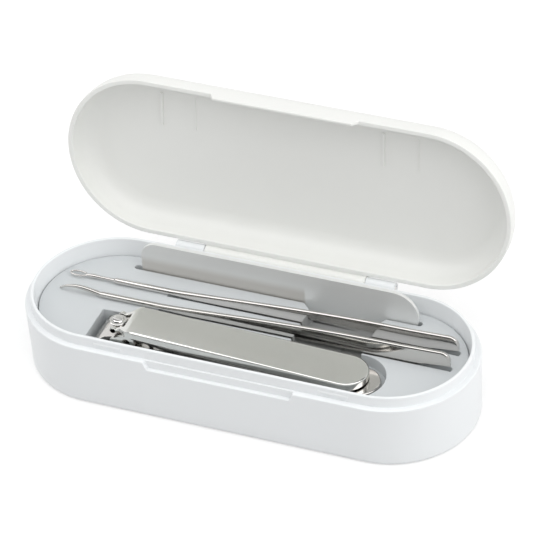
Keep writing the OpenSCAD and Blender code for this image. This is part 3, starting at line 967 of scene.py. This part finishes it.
@dataclass
class CaseBase:
    """The lower moulding with its lip, thumb notch, snap bumps, tray seats and end knuckles."""

    shop: Workshop
    sizes: CaseSizes
    ledge: float = 0.3
    fillet: float = 0.2
    rim_round: float = 0.35
    lip_round: float = 0.35
    lip_fillet: float = 0.12
    floor_round: float = 1.5
    step: float = 0.36
    notch_rows: tuple[float, ...] = (-0.3, -0.18, -0.06, 0.06, 0.18, 0.5, 0.8, 1.1, 1.35)
    notch_from: float = 0.8
    notch_middle: float = 1.2
    bump_dome: float = 0.25
    bump_bury: float = 0.2
    seat_half: float = 0.8
    seat_in: float = 1.1
    seat_bury: float = 0.8
    seat_edge: float = 0.1
    bore: float = 0.76

    def profiles(self) -> tuple[list[Point], list[Point]]:
        """Lists the wall's profile and the same points where the thumb notch is cut.

        Returns:
            The plain and the notched profile.
        """
        sizes = self.sizes
        outer, top, low = sizes.half_width, sizes.shoulder_z, sizes.notch_z
        back = outer - sizes.tab_thick - sizes.tab_play
        under = arc((outer - sizes.lean - sizes.foot, sizes.foot), sizes.foot, -90, 0, 8)
        start = [(0.0, 0.0), *under, sizes.wall_at(low - self.notch_from)]
        shoulder = (sizes.wall_at(top - self.rim_round)[0] - self.rim_round, top - self.rim_round)
        plain = [sizes.wall_at(low + row) for row in self.notch_rows] + arc(shoulder, self.rim_round, 0, 90, 4)
        notched = [
            *arc((sizes.wall_at(low)[0] - self.ledge, low - self.ledge), self.ledge, 0, 90, 4),
            *arc((back + self.fillet, low + self.fillet), self.fillet, -90, -180, 2),
            (back, low + self.notch_middle),
            *arc((back - self.fillet, top - self.fillet), self.fillet, 0, 90, 4),
        ]
        lip_out, lip_in = outer - sizes.lip_inset, outer - sizes.wall
        bend, small, deep = self.lip_round, self.lip_fillet, self.floor_round
        inner = lip_in - sizes.taper
        rest = [
            *arc((lip_out + small, top + small), small, -90, -180, 2),
            *arc((lip_out - bend, sizes.lip_z - bend), bend, 0, 90, 4),
            *arc((lip_in + bend, sizes.lip_z - bend), bend, 90, 180, 4),
            (inner, sizes.tray_z),
            *arc((inner - deep, sizes.floor + deep), deep, 0, -90, 6),
            (0.0, sizes.floor),
        ]
        return start + plain + rest, start + notched + rest

    def skin(self) -> BMesh:
        """Sweeps the wall and floor, with the thumb notch in the front run.

        Returns:
            The closed skin.
        """
        sizes = self.sizes
        plain, notched = self.profiles()
        edge = sizes.tab_half + sizes.tab_play
        slant_from = sizes.notch_z - 0.35

        def reshape(place: float, index: int) -> Point3:
            """Cuts the notch with slanted sides.

            Args:
                place: the station.
                index: the point's number.

            Returns:
                Place, radius and height of the point.
            """
            radius, height = between(plain[index], notched[index], step_in(place, edge, self.step))
            if height > slant_from:
                place = sizes.slanted(place, (sizes.shoulder_z - height) / (sizes.shoulder_z - sizes.notch_z))
            return (place, radius, height)

        return Pill(sizes.half_straight).sweep(plain, sorted(cuts(edge, self.step)), reshape)

    def build(self) -> None:
        """Builds the moulding."""
        sizes = self.sizes
        mesh = self.skin()
        depth = -sizes.half_width + sizes.lip_inset + sizes.snap_radius - self.bump_bury
        inner = sizes.half_width - sizes.wall - sizes.taper
        for side in (-1.0, 1.0):
            bump = turned(domed_pin(sizes.snap_radius, 2 * sizes.snap_half, self.bump_dome))
            add_mesh(mesh, bump, at(side * sizes.snap_x, depth, sizes.snap_z) @ Matrix.Rotation(QUARTER, 4, "Y"))
            near, far = sorted((side * (inner - self.seat_in), side * (inner + self.seat_bury)))
            for x in sizes.seats:
                low = (x - self.seat_half, near, sizes.floor - 0.02)
                add_bar(mesh, low, (x + self.seat_half, far, sizes.tray_under), self.seat_edge)
        off = sizes.hinge_off
        web = [(off - 0.7, -0.3), (0.0, -0.3), (1.316, -0.76), (off, -5.8), (off - 0.7, -5.8)]
        knuckle = Knuckle(sizes, self.bore, [web])
        for start in (-sizes.hinge_half, sizes.hinge_half - sizes.end_knuckle):
            add_mesh(mesh, knuckle.build(start, sizes.end_knuckle), sizes.hinge)
        self.shop.place(mesh, "base_moulding", "base", Finishes.CASE, "base_shell")


@dataclass
class CaseLid:
    """The upper moulding with its thumb tab, snap grooves, ceiling marks and long knuckle."""

    shop: Workshop
    sizes: CaseSizes
    rim_round: float = 0.25
    inner_round: float = 0.2
    tab_round: float = 0.25
    tab_inset: float = 0.05
    crown_inset: float = 0.052
    draft: float = 0.1
    step: float = 0.36
    groove_play: float = 0.3
    groove_in: float = 0.4
    groove_half: float = 0.69
    groove_step: float = 0.2
    mark_pitch: float = 9.4
    mark_width: tuple[float, float] = (0.8, 0.45)
    mark_high: tuple[float, float] = (0.45, 0.22)
    mark_shift: float = -1.8
    mark_from: float = 6.6
    mark_long: float = 9.6
    mark_bury: float = 0.5
    mark_edge: float = 0.12
    bore: float = 0.8

    def profiles(self) -> tuple[list[Point], list[Point], dict[int, Point]]:
        """Lists the wall's profile, the same points at the thumb tab, and those of a snap groove.

        Returns:
            The plain profile, the profile at the tab, and the groove's points by number.
        """
        sizes = self.sizes
        outer, rim = sizes.half_width, sizes.rim_z
        inside = outer - sizes.rim
        bend = sizes.crown - sizes.skin
        hollow = [
            (0.0, sizes.ceiling_z),
            *arc((inside - self.draft - bend, sizes.ceiling_z - bend), bend, 90, 0, 14),
        ]
        steps = [self.groove_half * k / 4 for k in range(4, -5, -1)]
        slope = self.draft / (sizes.ceiling_z - bend - rim)
        face = [(inside - slope * (sizes.snap_z + dz - rim), sizes.snap_z + dz) for dz in steps]
        bottom = inside + self.groove_in - sizes.snap_radius
        groove = [(bottom + math.sqrt(sizes.snap_radius**2 - dz**2), sizes.snap_z + dz) for dz in steps]
        small, big, turn = self.inner_round, self.rim_round, self.tab_round
        start = hollow + face + arc((inside + small, rim + small), small, 180, 270, 3)
        face_out = outer - self.tab_inset
        face_in = face_out - sizes.tab_thick
        low = rim - sizes.tab_drop
        plain_end = [
            *((inside + 0.3 + 0.05 * k, rim) for k in range(12)),
            *arc((outer - big, rim + big), big, 270, 360, 4),
        ]
        tab_end = [
            (face_in - 0.15, rim),
            (face_in - 0.08, rim),
            (face_in, rim - 0.1),
            (face_in, low + 0.3),
            *arc((face_in + turn, low + turn), turn, 180, 270, 3),
            *arc((face_out - turn, low + turn), turn, 270, 360, 3),
            *((face_out, low + up) for up in (0.6, 1.0, 1.4, 1.8)),
            (outer - 0.01, rim + big),
        ]
        centre = (outer - self.crown_inset - sizes.crown, sizes.lid_top - sizes.crown)
        over = [*arc(centre, sizes.crown, 0, 90, 18), (0.0, sizes.lid_top)]
        numbers = {len(hollow) + k: point for k, point in enumerate(groove)}
        return start + plain_end + over, start + tab_end + over, numbers

    def skin(self) -> BMesh:
        """Sweeps the closed lid's skin, with the tab and the grooves in the front run.

        Returns:
            The closed skin.
        """
        sizes = self.sizes
        plain, tabbed, groove = self.profiles()
        reach = sizes.snap_half + self.groove_play

        def reshape(place: float, index: int) -> Point3:
            """Draws the tab down with slanted sides and sinks the grooves.

            Args:
                place: the station.
                index: the point's number.

            Returns:
                Place, radius and height of the point.
            """
            radius, height = between(plain[index], tabbed[index], step_in(place, sizes.tab_half, self.step))
            if index in groove:
                deep = step_in(abs(place) - sizes.snap_x, reach, self.groove_step)
                radius, height = between((radius, height), groove[index], deep)
            return (sizes.slanted(place, (sizes.rim_z - height) / sizes.tab_drop), radius, height)

        stations = cuts(sizes.tab_half, self.step)
        for end in (sizes.snap_x - reach, sizes.snap_x + reach):
            stations += cuts(end, self.groove_step, 4)
        return Pill(sizes.half_straight).sweep(plain, sorted(stations), reshape)

    def build(self) -> None:
        """Builds the moulding closed and turns it back to its stop."""
        sizes = self.sizes
        mesh = self.skin()
        for side in (-1.0, 1.0):
            for edge, wide, deep in zip((-1.0, 1.0), self.mark_width, self.mark_high):
                x = side * sizes.snap_x + edge * self.mark_pitch / 2 + self.mark_shift
                low = (x - wide / 2, -sizes.half_width + self.mark_from, sizes.ceiling_z - deep)
                high = (x + wide / 2, low[1] + self.mark_long, sizes.ceiling_z + self.mark_bury)
                add_bar(mesh, low, high, self.mark_edge)
        off = sizes.hinge_off
        web = [(off - 0.7, 0.3), (0.0, 0.3), (1.316, 0.76), (off - 0.4, 4.4), (off - 1.1, 4.4)]
        stop = [(off + 0.05, 0.3), (off + 0.05, -2.0), (-0.75, -2.3), (0.76, -1.316), (0.0, 0.3)]
        turn = math.radians(sizes.open_angle)
        across, up = math.cos(turn), math.sin(turn)
        heel = [(y * across - z * up, y * up + z * across) for y, z in stop]
        start = -sizes.hinge_half + sizes.end_knuckle + sizes.knuckle_play
        add_mesh(mesh, Knuckle(sizes, self.bore, [web, heel]).build(start, -2 * start), sizes.hinge)
        mesh.transform(sizes.hinge @ Matrix.Rotation(-turn, 4, "X") @ sizes.hinge.inverted())
        self.shop.place(mesh, "lid_moulding", "lid", Finishes.LID, "lid_shell")


@dataclass
class Inlay:
    """The tray in the base, and the hinge pin."""

    shop: Workshop
    edge: float = 0.22
    dome: float = 0.2
    lead_in: float = 0.4
    lead_deep: float = 0.35
    slot_half: float = 0.6

    def open_slots(self, plate: BMesh) -> None:
        """Slopes the front wall of each pick's slot outward, as a lead-in.

        Args:
            plate: the eased tray.
        """
        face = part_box("tray")[1].z - self.lead_deep * MM
        middles = [sum(corner.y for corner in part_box(node)) / 2 for node in ("loop_pick", "hook_pick")]
        for vert in plate.verts:
            for middle in middles if vert.co.z > face else []:
                away = (middle - vert.co.y) / MM
                if 0.0 < away < self.slot_half + self.lead_deep:
                    vert.co.y -= self.lead_in * MM * min(1.0, away / self.slot_half)

    def build(self) -> None:
        """Builds the tray with its pocket, slots and trough, and the pin with its domed ends."""
        plate = self.shop.eased_copy("tray", self.edge)
        self.open_slots(plate)
        self.shop.place(plate, "tray_moulding", "base", Finishes.TRAY, "tray")
        self.shop.lay_pin("hinge_pin", "hinge_wire", "base", self.dome)


@dataclass
class NailFile:
    """The thin steel file that stands on edge, round at one end."""

    shop: Workshop
    left_corner: float = 4.5
    nearly: float = 0.999
    edge: float = 0.12

    def build(self) -> None:
        """Cuts the plate, rounds its corners and eases its outline."""
        low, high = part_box("nail_file")
        size, centre = high - low, (low + high) / 2
        plate = bmesh.new()
        bmesh.ops.create_cube(plate, size=1.0)
        plate.transform(Matrix.Translation(centre) @ Matrix.Diagonal((*size, 1.0)))
        for side, radius, steps in ((-1.0, self.left_corner, 10), (1.0, size.z / MM / 2 * self.nearly, 20)):
            corners = [
                edge
                for edge in plate.edges
                if abs(edge.verts[0].co.y - edge.verts[1].co.y) > size.y / 2
                and (edge.verts[0].co.x - centre.x) * side > size.x * 0.4
            ]
            ease_edges(plate, corners, radius, steps)
        ease_edges(plate, hard_edges(plate, 60.0), self.edge, 3)
        self.shop.place(plate, "file_plate", "nail_file", Finishes.FILE, "nail_file")


@dataclass(frozen=True)
class Station:
    """One cross-section of a pick: where it is, and half its thickness, half its height and its lift."""

    x: float
    thick: float
    high: float
    lift: float = 0.0

    def shape(self, ring: list[BMVert]) -> None:
        """Moves a ring to this section: round above and below, flat on its sides.

        Args:
            ring: the ring's vertices in order.
        """
        for index, vert in enumerate(ring):
            angle = math.tau * (index + 0.5) / len(ring)
            rise = self.thick * math.sin(angle)
            up = self.lift + rise + math.copysign(self.high - self.thick, rise)
            vert.co = Vector((self.x, self.thick * math.cos(angle), up)) * MM


def lofted(stations: list[Station], sides: int = 28) -> BMesh:
    """Extrudes a ring from station to station and closes both ends.

    Args:
        stations: the sections in order, in millimetres.
        sides: points in a section, a multiple of four.

    Returns:
        The closed bar, along the X axis.
    """
    mesh = bmesh.new()
    ring = list(bmesh.ops.create_circle(mesh, cap_ends=False, segments=sides, radius=1.0)["verts"])
    edges = list({edge for vert in ring for edge in vert.link_edges})
    stations[0].shape(ring)
    mesh.faces.new(ring)
    for station in stations[1:]:
        grown = bmesh.ops.extrude_edge_only(mesh, edges=edges)["geom"]
        edges = picked(grown, BMEdge)
        above = {link.other_vert(vert): vert for vert in picked(grown, BMVert) for link in vert.link_edges}
        ring = [above[vert] for vert in ring]
        station.shape(ring)
    mesh.faces.new(ring)
    bmesh.ops.recalc_face_normals(mesh, faces=mesh.faces)
    return mesh


@dataclass
class Pick:
    """A slim pick: a round shaft that flares into a flat handle standing on edge."""

    shop: Workshop
    node: str
    shaft: float = 0.8
    handle_half: float = 4.3
    handle_thick: float = 0.64
    end_thinner: float = 0.2
    flare_from: float = -25.0
    flare_to: float = 40.0
    flare_power: float = 1.2
    thin_over: float = 20.0
    end_rise: float = 0.4
    round_end: float = 2.5
    axis_height: float = 17.05
    heel_long: float = 13.0
    heel_rise: float = 6.0
    heel_floor: float = -0.75
    heel_slope: float = 0.1
    run_steps: int = 36
    round_steps: int = 8
    smooth_under: float = 50.0
    finish: Steel = Finishes.WIRE

    @property
    def end(self) -> float:
        """Half the pick's length, in millimetres."""
        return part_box(self.node)[1].x / MM

    def half_height(self, x: float) -> float:
        """Half the handle's height.

        Args:
            x: the place along it.

        Returns:
            The height, in millimetres.
        """
        share = clipped((x - self.flare_from) / (self.flare_to - self.flare_from))
        rise = (self.handle_half - self.end_rise - self.shaft) * math.sin(QUARTER * share) ** self.flare_power
        return self.shaft + rise + self.end_rise * max(0.0, x - self.flare_to) / (self.end - self.flare_to)

    def half_thick(self, x: float) -> float:
        """Half the handle's thickness at x."""
        return self.shaft + (self.handle_thick - self.shaft) * clipped((x - self.flare_from) / self.thin_over)

    def handle(self) -> list[Station]:
        """Sections from the start of the flare to the rounded end.

        Returns:
            The stations, in order.
        """
        last = self.end - self.round_end
        run = [self.flare_from + (last - self.flare_from) * k / self.run_steps for k in range(self.run_steps + 1)]
        stations = [Station(x, self.half_thick(x), self.half_height(x)) for x in run]
        for k in range(1, self.round_steps):
            turn = QUARTER * k / self.round_steps
            x = last + self.round_end * math.sin(turn)
            high = self.half_height(x) - self.round_end * (1 - math.cos(turn))
            stations.append(Station(x, self.handle_thick, high))
        high = self.half_height(self.end) - self.round_end
        stations.append(Station(self.end, self.handle_thick - self.end_thinner, high))
        return [self.raised(station) for station in stations]

    def raised(self, station: Station) -> Station:
        """Lifts a section's underside out of the slot near the handle's end.

        Args:
            station: the section with its full height.

        Returns:
            The section as it is there.
        """
        after = station.x - self.end + self.heel_long
        slope = self.heel_slope * max(0.0, after - self.heel_rise)
        top, low = station.high, -station.high
        low += max(0.0, self.heel_floor + slope - low) * smooth(after / self.heel_rise)
        return Station(station.x, station.thick, (top - low) / 2, (top + low) / 2)

    def place(self, mesh: BMesh, name: str, replaces: bool) -> None:
        """Moves a part of the pick to its place and hands it over.

        Args:
            mesh: the shape round the X axis.
            name: the piece's name.
            replaces: whether it stands for the CAD node.
        """
        low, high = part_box(self.node)
        mesh.transform(Matrix.Translation((0.0, (low.y + high.y) / 2, self.axis_height * MM)))
        node = self.node if replaces else None
        self.shop.place(mesh, name, self.node, self.finish, node, self.smooth_under, even_faces=False)


@dataclass
class LoopPick(Pick):
    """The rear pick, which ends in a small wire loop behind a waisted neck."""

    loop_long: float = 2.3
    loop_wide: float = 0.9
    wire: float = 0.28
    neck: tuple[Point, ...] = (
        (-0.5, 0.3),
        (0.4, 0.45),
        (1.5, 0.62),
        (2.8, 0.5),
        (4.0, 0.42),
        (6.0, 0.45),
        (7.4, 0.5),
        (7.85, 0.7),
        (8.0, 0.8),
    )

    def build(self) -> None:
        """Builds the bar and the loop."""
        start = -self.end + 2 * (self.loop_long + self.wire)
        waist = [Station(start + along, half, half) for along, half in self.neck]
        self.place(lofted(waist + self.handle()), "loop_pick_bar", True)
        loop = bmesh.new()
        ring = bmesh.ops.create_circle(loop, cap_ends=False, segments=14, radius=self.wire * MM)["verts"]
        bmesh.ops.rotate(loop, verts=ring, cent=(0, 0, 0), matrix=Matrix.Rotation(QUARTER, 3, "X"))
        rim = self.loop_long * MM
        bmesh.ops.translate(loop, verts=ring, vec=(rim, 0, 0))
        full_turn(loop, 40)
        for vert in loop.verts:
            reach = math.hypot(vert.co.x, vert.co.y)
            vert.co.y = vert.co.y / reach * (self.loop_wide * MM + (reach - rim))
        loop.transform(at(-self.end + self.loop_long + self.wire, 0.0, 0.0))
        self.place(loop, "loop_pick_ring", False)


@dataclass
class HookPick(Pick):
    """The front pick, whose thin tip arches up and comes down to a point."""

    hook: float = 11.5
    crest: float = 1.1
    crest_power: float = 0.75
    dip: float = 0.5
    tip_steps: int = 26
    tip_thick: Point = (0.26, 0.36)
    tip_high: Point = (0.32, 0.3)
    # painted shade: the front pick wears the darker copy of the polished wire
    finish: Steel = Finishes.WIRE_PAINTED_SHADE

    def build(self) -> None:
        """Builds the bar from the hook's tip to the handle."""
        tip = []
        for k in range(self.tip_steps + 1):
            share = k / self.tip_steps
            lift = self.crest * math.sin(math.pi * share**self.crest_power) - self.dip * (1 - share) ** 3
            thick = self.tip_thick[0] + self.tip_thick[1] * min(1.0, share * 1.6)
            high = self.tip_high[0] + self.tip_high[1] * min(1.0, share * 1.3) if k else thick
            tip.append(Station(-self.end + self.hook * share, thick, max(thick, high), lift))
        tip.append(Station(-self.end + self.hook + 0.5, self.shaft, self.shaft))
        self.place(lofted(tip + self.handle()), "hook_pick_bar", True)


@dataclass
class Clipper:
    """The folding nail clipper: two sprung arms, their rivet, a post, a cross pin and a lever."""

    shop: Workshop
    arm_edge: float = 0.16
    rear_from: float = 28.0
    rear_edge: float = 0.4
    lever_edge: float = 0.2
    pin_dome: float = 0.15
    post_radius: float = 1.5
    post_foot: tuple[Point, ...] = ((0.2, 0.0), (0.0, 0.15), (0.0, 0.68), (0.15, 0.83))
    cap_high: float = 0.85
    cap_flange: tuple[Point, ...] = ((0.12, 0.0), (0.0, 0.08), (0.0, 0.22), (0.12, 0.3))
    cap_dome: tuple[Point, ...] = (
        (1.62, 0.3),
        (1.58, 0.38),
        (1.47, 0.54),
        (1.34, 0.69),
        (1.22, 0.77),
        (1.03, 0.82),
        (0.5, 0.845),
    )
    head_wider: float = 0.7
    rivet_chamfer: float = 0.1
    rivet_head: tuple[Point, ...] = ((0.06, 0.5), (0.0, 0.42), (0.1, 0.22), (0.5, 0.06))

    def build_arms(self) -> None:
        """Builds both bowed arms with eased edges."""
        for node, body, name in (
            ("clipper_lower_arm", "clipper", "lower_arm_strip"),
            ("clipper_upper_arm", "clipper_upper", "upper_arm_strip"),
        ):
            strip = self.shop.eased_copy(node, self.arm_edge, 40.0, (self.rear_from, self.rear_edge))
            self.shop.place(strip, name, body, Finishes.POLISHED, node)

    def stand(self, profile: list[Point], steps: int, node: str, name: str, finish: Finish) -> None:
        """Turns an upright part and places it in the middle of its CAD node.

        Args:
            profile: its points of radius and height, in millimetres.
            steps: faces round it.
            node: the CAD node that it stands for.
            name: the piece's name.
            finish: the finish that it wears.
        """
        low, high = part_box(node)
        part = turned(profile, steps)
        part.transform(Matrix.Translation(((low.x + high.x) / 2, (low.y + high.y) / 2, 0.0)))
        self.shop.place(part, name, "clipper", finish, node)

    def build_post(self) -> None:
        """Turns the post: foot, shank, collar and domed cap."""
        low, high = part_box("clipper_post")
        base, top, wide = low.z / MM, high.z / MM, (high.x - low.x) / MM / 2
        collar = top - self.cap_high
        profile = [
            (0.0, base),
            *((wide - inset, base + up) for inset, up in self.post_foot),
            (self.post_radius, base + self.post_foot[-1][1]),
            (self.post_radius, collar),
            *((wide - inset, collar + up) for inset, up in self.cap_flange),
            *((radius, collar + up) for radius, up in self.cap_dome),
            (0.0, top),
        ]
        self.stand(profile, 56, "clipper_post", "post_turned", Finishes.CHROME)

    def build_pins(self) -> None:
        """Turns the cross pin and the rear rivet."""
        self.shop.lay_pin("clipper_cross_pin", "cross_pin_turned", "clipper", self.pin_dome, 28)
        low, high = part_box("clipper_rivet")
        base, top, head = low.z / MM, high.z / MM, (high.x - low.x) / MM / 2
        shank, small = head - self.head_wider, self.rivet_chamfer
        profile = [
            (0.0, base),
            (shank - small, base),
            (shank, base + small),
            (shank, top - self.rivet_head[0][1]),
            *((head - inset, top - down) for inset, down in self.rivet_head),
            (0.0, top),
        ]
        self.stand(profile, 36, "clipper_rivet", "rivet_turned", Finishes.POLISHED)

    def build_lever(self) -> None:
        """Builds the pressed lever with its rolled edges, ears and fork."""
        pan = self.shop.eased_copy("clipper_lever", self.lever_edge, 35.0)
        self.shop.place(pan, "lever_pressed", "lever", Finishes.LEVER, "clipper_lever")

    def build(self) -> None:
        """Builds all the clipper's pieces."""
        for step in (self.build_arms, self.build_post, self.build_pins, self.build_lever):
            step()


@dataclass
class Studio:
    """White table and surround with soft light, and the camera at the photograph's viewpoint."""

    azimuth: float = 24.286
    elevation: float = 38.109
    roll: float = -4.214
    distance: float = 912.99
    focal_pixels: float = 3544.5
    image_pixels: float = 540.0
    aim: Point = (4.002, 27.919)
    sensor: float = 36.0
    glow: tuple[tuple[Point3, float], ...] = (
        ((0.0, 0.0, 1.0), 0.55),
        ((0.0, -0.7071, 0.7071), 0.87),
        ((0.7071, 0.0, 0.7071), 1.34),
        ((-0.7071, 0.0, 0.7071), 1.2),
        ((1.0, 0.0, 0.0), 1.64),
        ((-1.0, 0.0, 0.0), 0.6),
    )
    spread: float = 4.0
    soft_box: float = 1.6
    box_near: Point = (-0.65, -0.58)
    box_far: Point = (0.20, 0.28)
    box_above: Point = (0.45, 0.58)
    around: float = 0.04
    side_shine: float = 0.7
    side_from: Point = (0.50, 0.85)
    left_shine: float = 0.3
    left_to: Point = (-0.90, -0.50)
    back_shine: float = 0.75
    back_from: Point = (0.50, 0.62)
    table_half: float = 3.0
    table_gap: float = 0.00002
    table_colour: float = 0.62
    table_rough: float = 0.9
    table_gloss: float = 0.1
    table_glow: float = 0.43

    def build_camera(self) -> None:
        """Places the camera."""
        turn, lift, tilt = (math.radians(a) for a in (self.azimuth, self.elevation, self.roll))
        back = Vector((math.sin(turn) * math.cos(lift), -math.cos(turn) * math.cos(lift), math.sin(lift)))
        right = Vector((math.cos(turn), math.sin(turn), 0.0))
        upward = back.cross(right)
        side = right * math.cos(tilt) + upward * math.sin(tilt)
        rise = -right * math.sin(tilt) + upward * math.cos(tilt)
        place = (side * self.aim[0] + rise * self.aim[1] + back * self.distance) * MM
        data = bpy.data.cameras.new("viewpoint")
        data.sensor_width = self.sensor
        data.lens = self.focal_pixels / self.image_pixels * self.sensor
        data.clip_start, data.clip_end = 0.05, 20.0
        camera = bpy.data.objects.new("viewpoint", data)
        camera.matrix_world = Matrix.Translation(place) @ Matrix((side, rise, back)).transposed().to_4x4()
        bpy.context.scene.collection.objects.link(camera)
        bpy.context.scene.camera = camera

    def light(self, graph: Graph, spot: NodeSocket) -> NodeSocket:
        """Makes the wide soft light that falls on dull surfaces.

        Args:
            graph: the surround's graph.
            spot: direction into the surround.

        Returns:
            Its strength.
        """
        soft: object = 0.0
        for aim, strength in self.glow:
            toward = graph.add("ShaderNodeVectorMath", {0: spot, 1: aim}, operation="DOT_PRODUCT").outputs["Value"]
            lobe = graph.maths("POWER", graph.maths("MAXIMUM", toward, 0.0), self.spread)
            soft = graph.plus(graph.times(lobe, strength), soft)
        return soft

    def shine(self, graph: Graph, spot: NodeSocket) -> NodeSocket:
        """Makes what glossy surfaces mirror: a bright box above the case, and paler sides and back.

        Args:
            graph: the surround's graph.
            spot: direction into the surround.

        Returns:
            Its strength.
        """
        x, y, z = graph.axes(spot)
        box = graph.times(
            graph.remap(y, self.box_near), graph.remap(y, self.box_far, (1.0, 0.0)), graph.remap(z, self.box_above)
        )
        behind = graph.remap(y, self.back_from, (0.0, self.back_shine))
        right = graph.remap(x, self.side_from, (self.around, self.side_shine))
        left = graph.remap(x, self.left_to, (self.left_shine, 0.0))
        return graph.plus(graph.times(box, self.soft_box), graph.plus(behind, graph.plus(left, right)))

    def build_world(self) -> None:
        """Makes the surround: soft light, a shine of its own for gloss, and white where the camera looks."""
        world = bpy.data.worlds.new("surround")
        bpy.context.scene.world = world
        world.use_nodes = True
        world.node_tree.nodes.clear()
        graph = Graph(world.node_tree)
        spot = graph.add("ShaderNodeTexCoord").outputs["Generated"]
        soft, shine = self.light(graph, spot), self.shine(graph, spot)
        path = graph.add("ShaderNodeLightPath").outputs
        lit = graph.plus(graph.times(graph.maths("SUBTRACT", shine, soft), path["Is Glossy Ray"]), soft)
        strength = graph.maths("MAXIMUM", lit, path["Is Camera Ray"])
        light = graph.add("ShaderNodeBackground", {"Color": WHITE, "Strength": strength})
        graph.add("ShaderNodeOutputWorld", {"Surface": light.outputs[0]})

    def build_floor(self) -> None:
        """Lays the white table top, which keeps the object's soft shadow."""
        mesh = bmesh.new()
        bmesh.ops.create_grid(mesh, x_segments=8, y_segments=8, size=self.table_half)
        data = bpy.data.meshes.new("table_top")
        mesh.to_mesh(data)
        mesh.free()
        floor = bpy.data.objects.new("table_top", data)
        floor.location.z = -self.table_gap
        bpy.context.scene.collection.objects.link(floor)
        material, graph, shader = new_material("white_table")
        path = graph.add("ShaderNodeLightPath").outputs
        seen = graph.maths("MAXIMUM", path["Is Camera Ray"], path["Is Glossy Ray"])
        seen = graph.maths("MAXIMUM", seen, path["Is Transmission Ray"])
        sockets = {
            "Base Color": [self.table_colour] * 3,
            "Roughness": self.table_rough,
            "Specular IOR Level": self.table_gloss,
            "Emission Color": WHITE,
            "Emission Strength": graph.times(seen, self.table_glow),
        }
        graph.feed(shader, sockets)
        data.materials.append(material)

    def build(self) -> None:
        """Builds camera, surround and table."""
        self.build_camera()
        self.build_world()
        self.build_floor()
        bpy.context.scene.view_settings.view_transform = "Standard"
        LOG.info("studio ready")


def main() -> None:
    """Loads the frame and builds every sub-assembly."""
    logging.basicConfig(level=logging.INFO, format="%(name)s %(message)s")
    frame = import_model()
    shop, sizes = Workshop(frame, Finishes()), CaseSizes()
    builders: list[Callable[[], None]] = [
        CaseBase(shop, sizes).build,
        CaseLid(shop, sizes).build,
        Inlay(shop).build,
        NailFile(shop).build,
        LoopPick(shop, "loop_pick").build,
        HookPick(shop, "hook_pick").build,
        Clipper(shop).build,
        Studio().build,
    ]
    for build in builders:
        build()
    LOG.info("%d pieces made", len(shop.made))


if __name__ == "__main__":
    main()
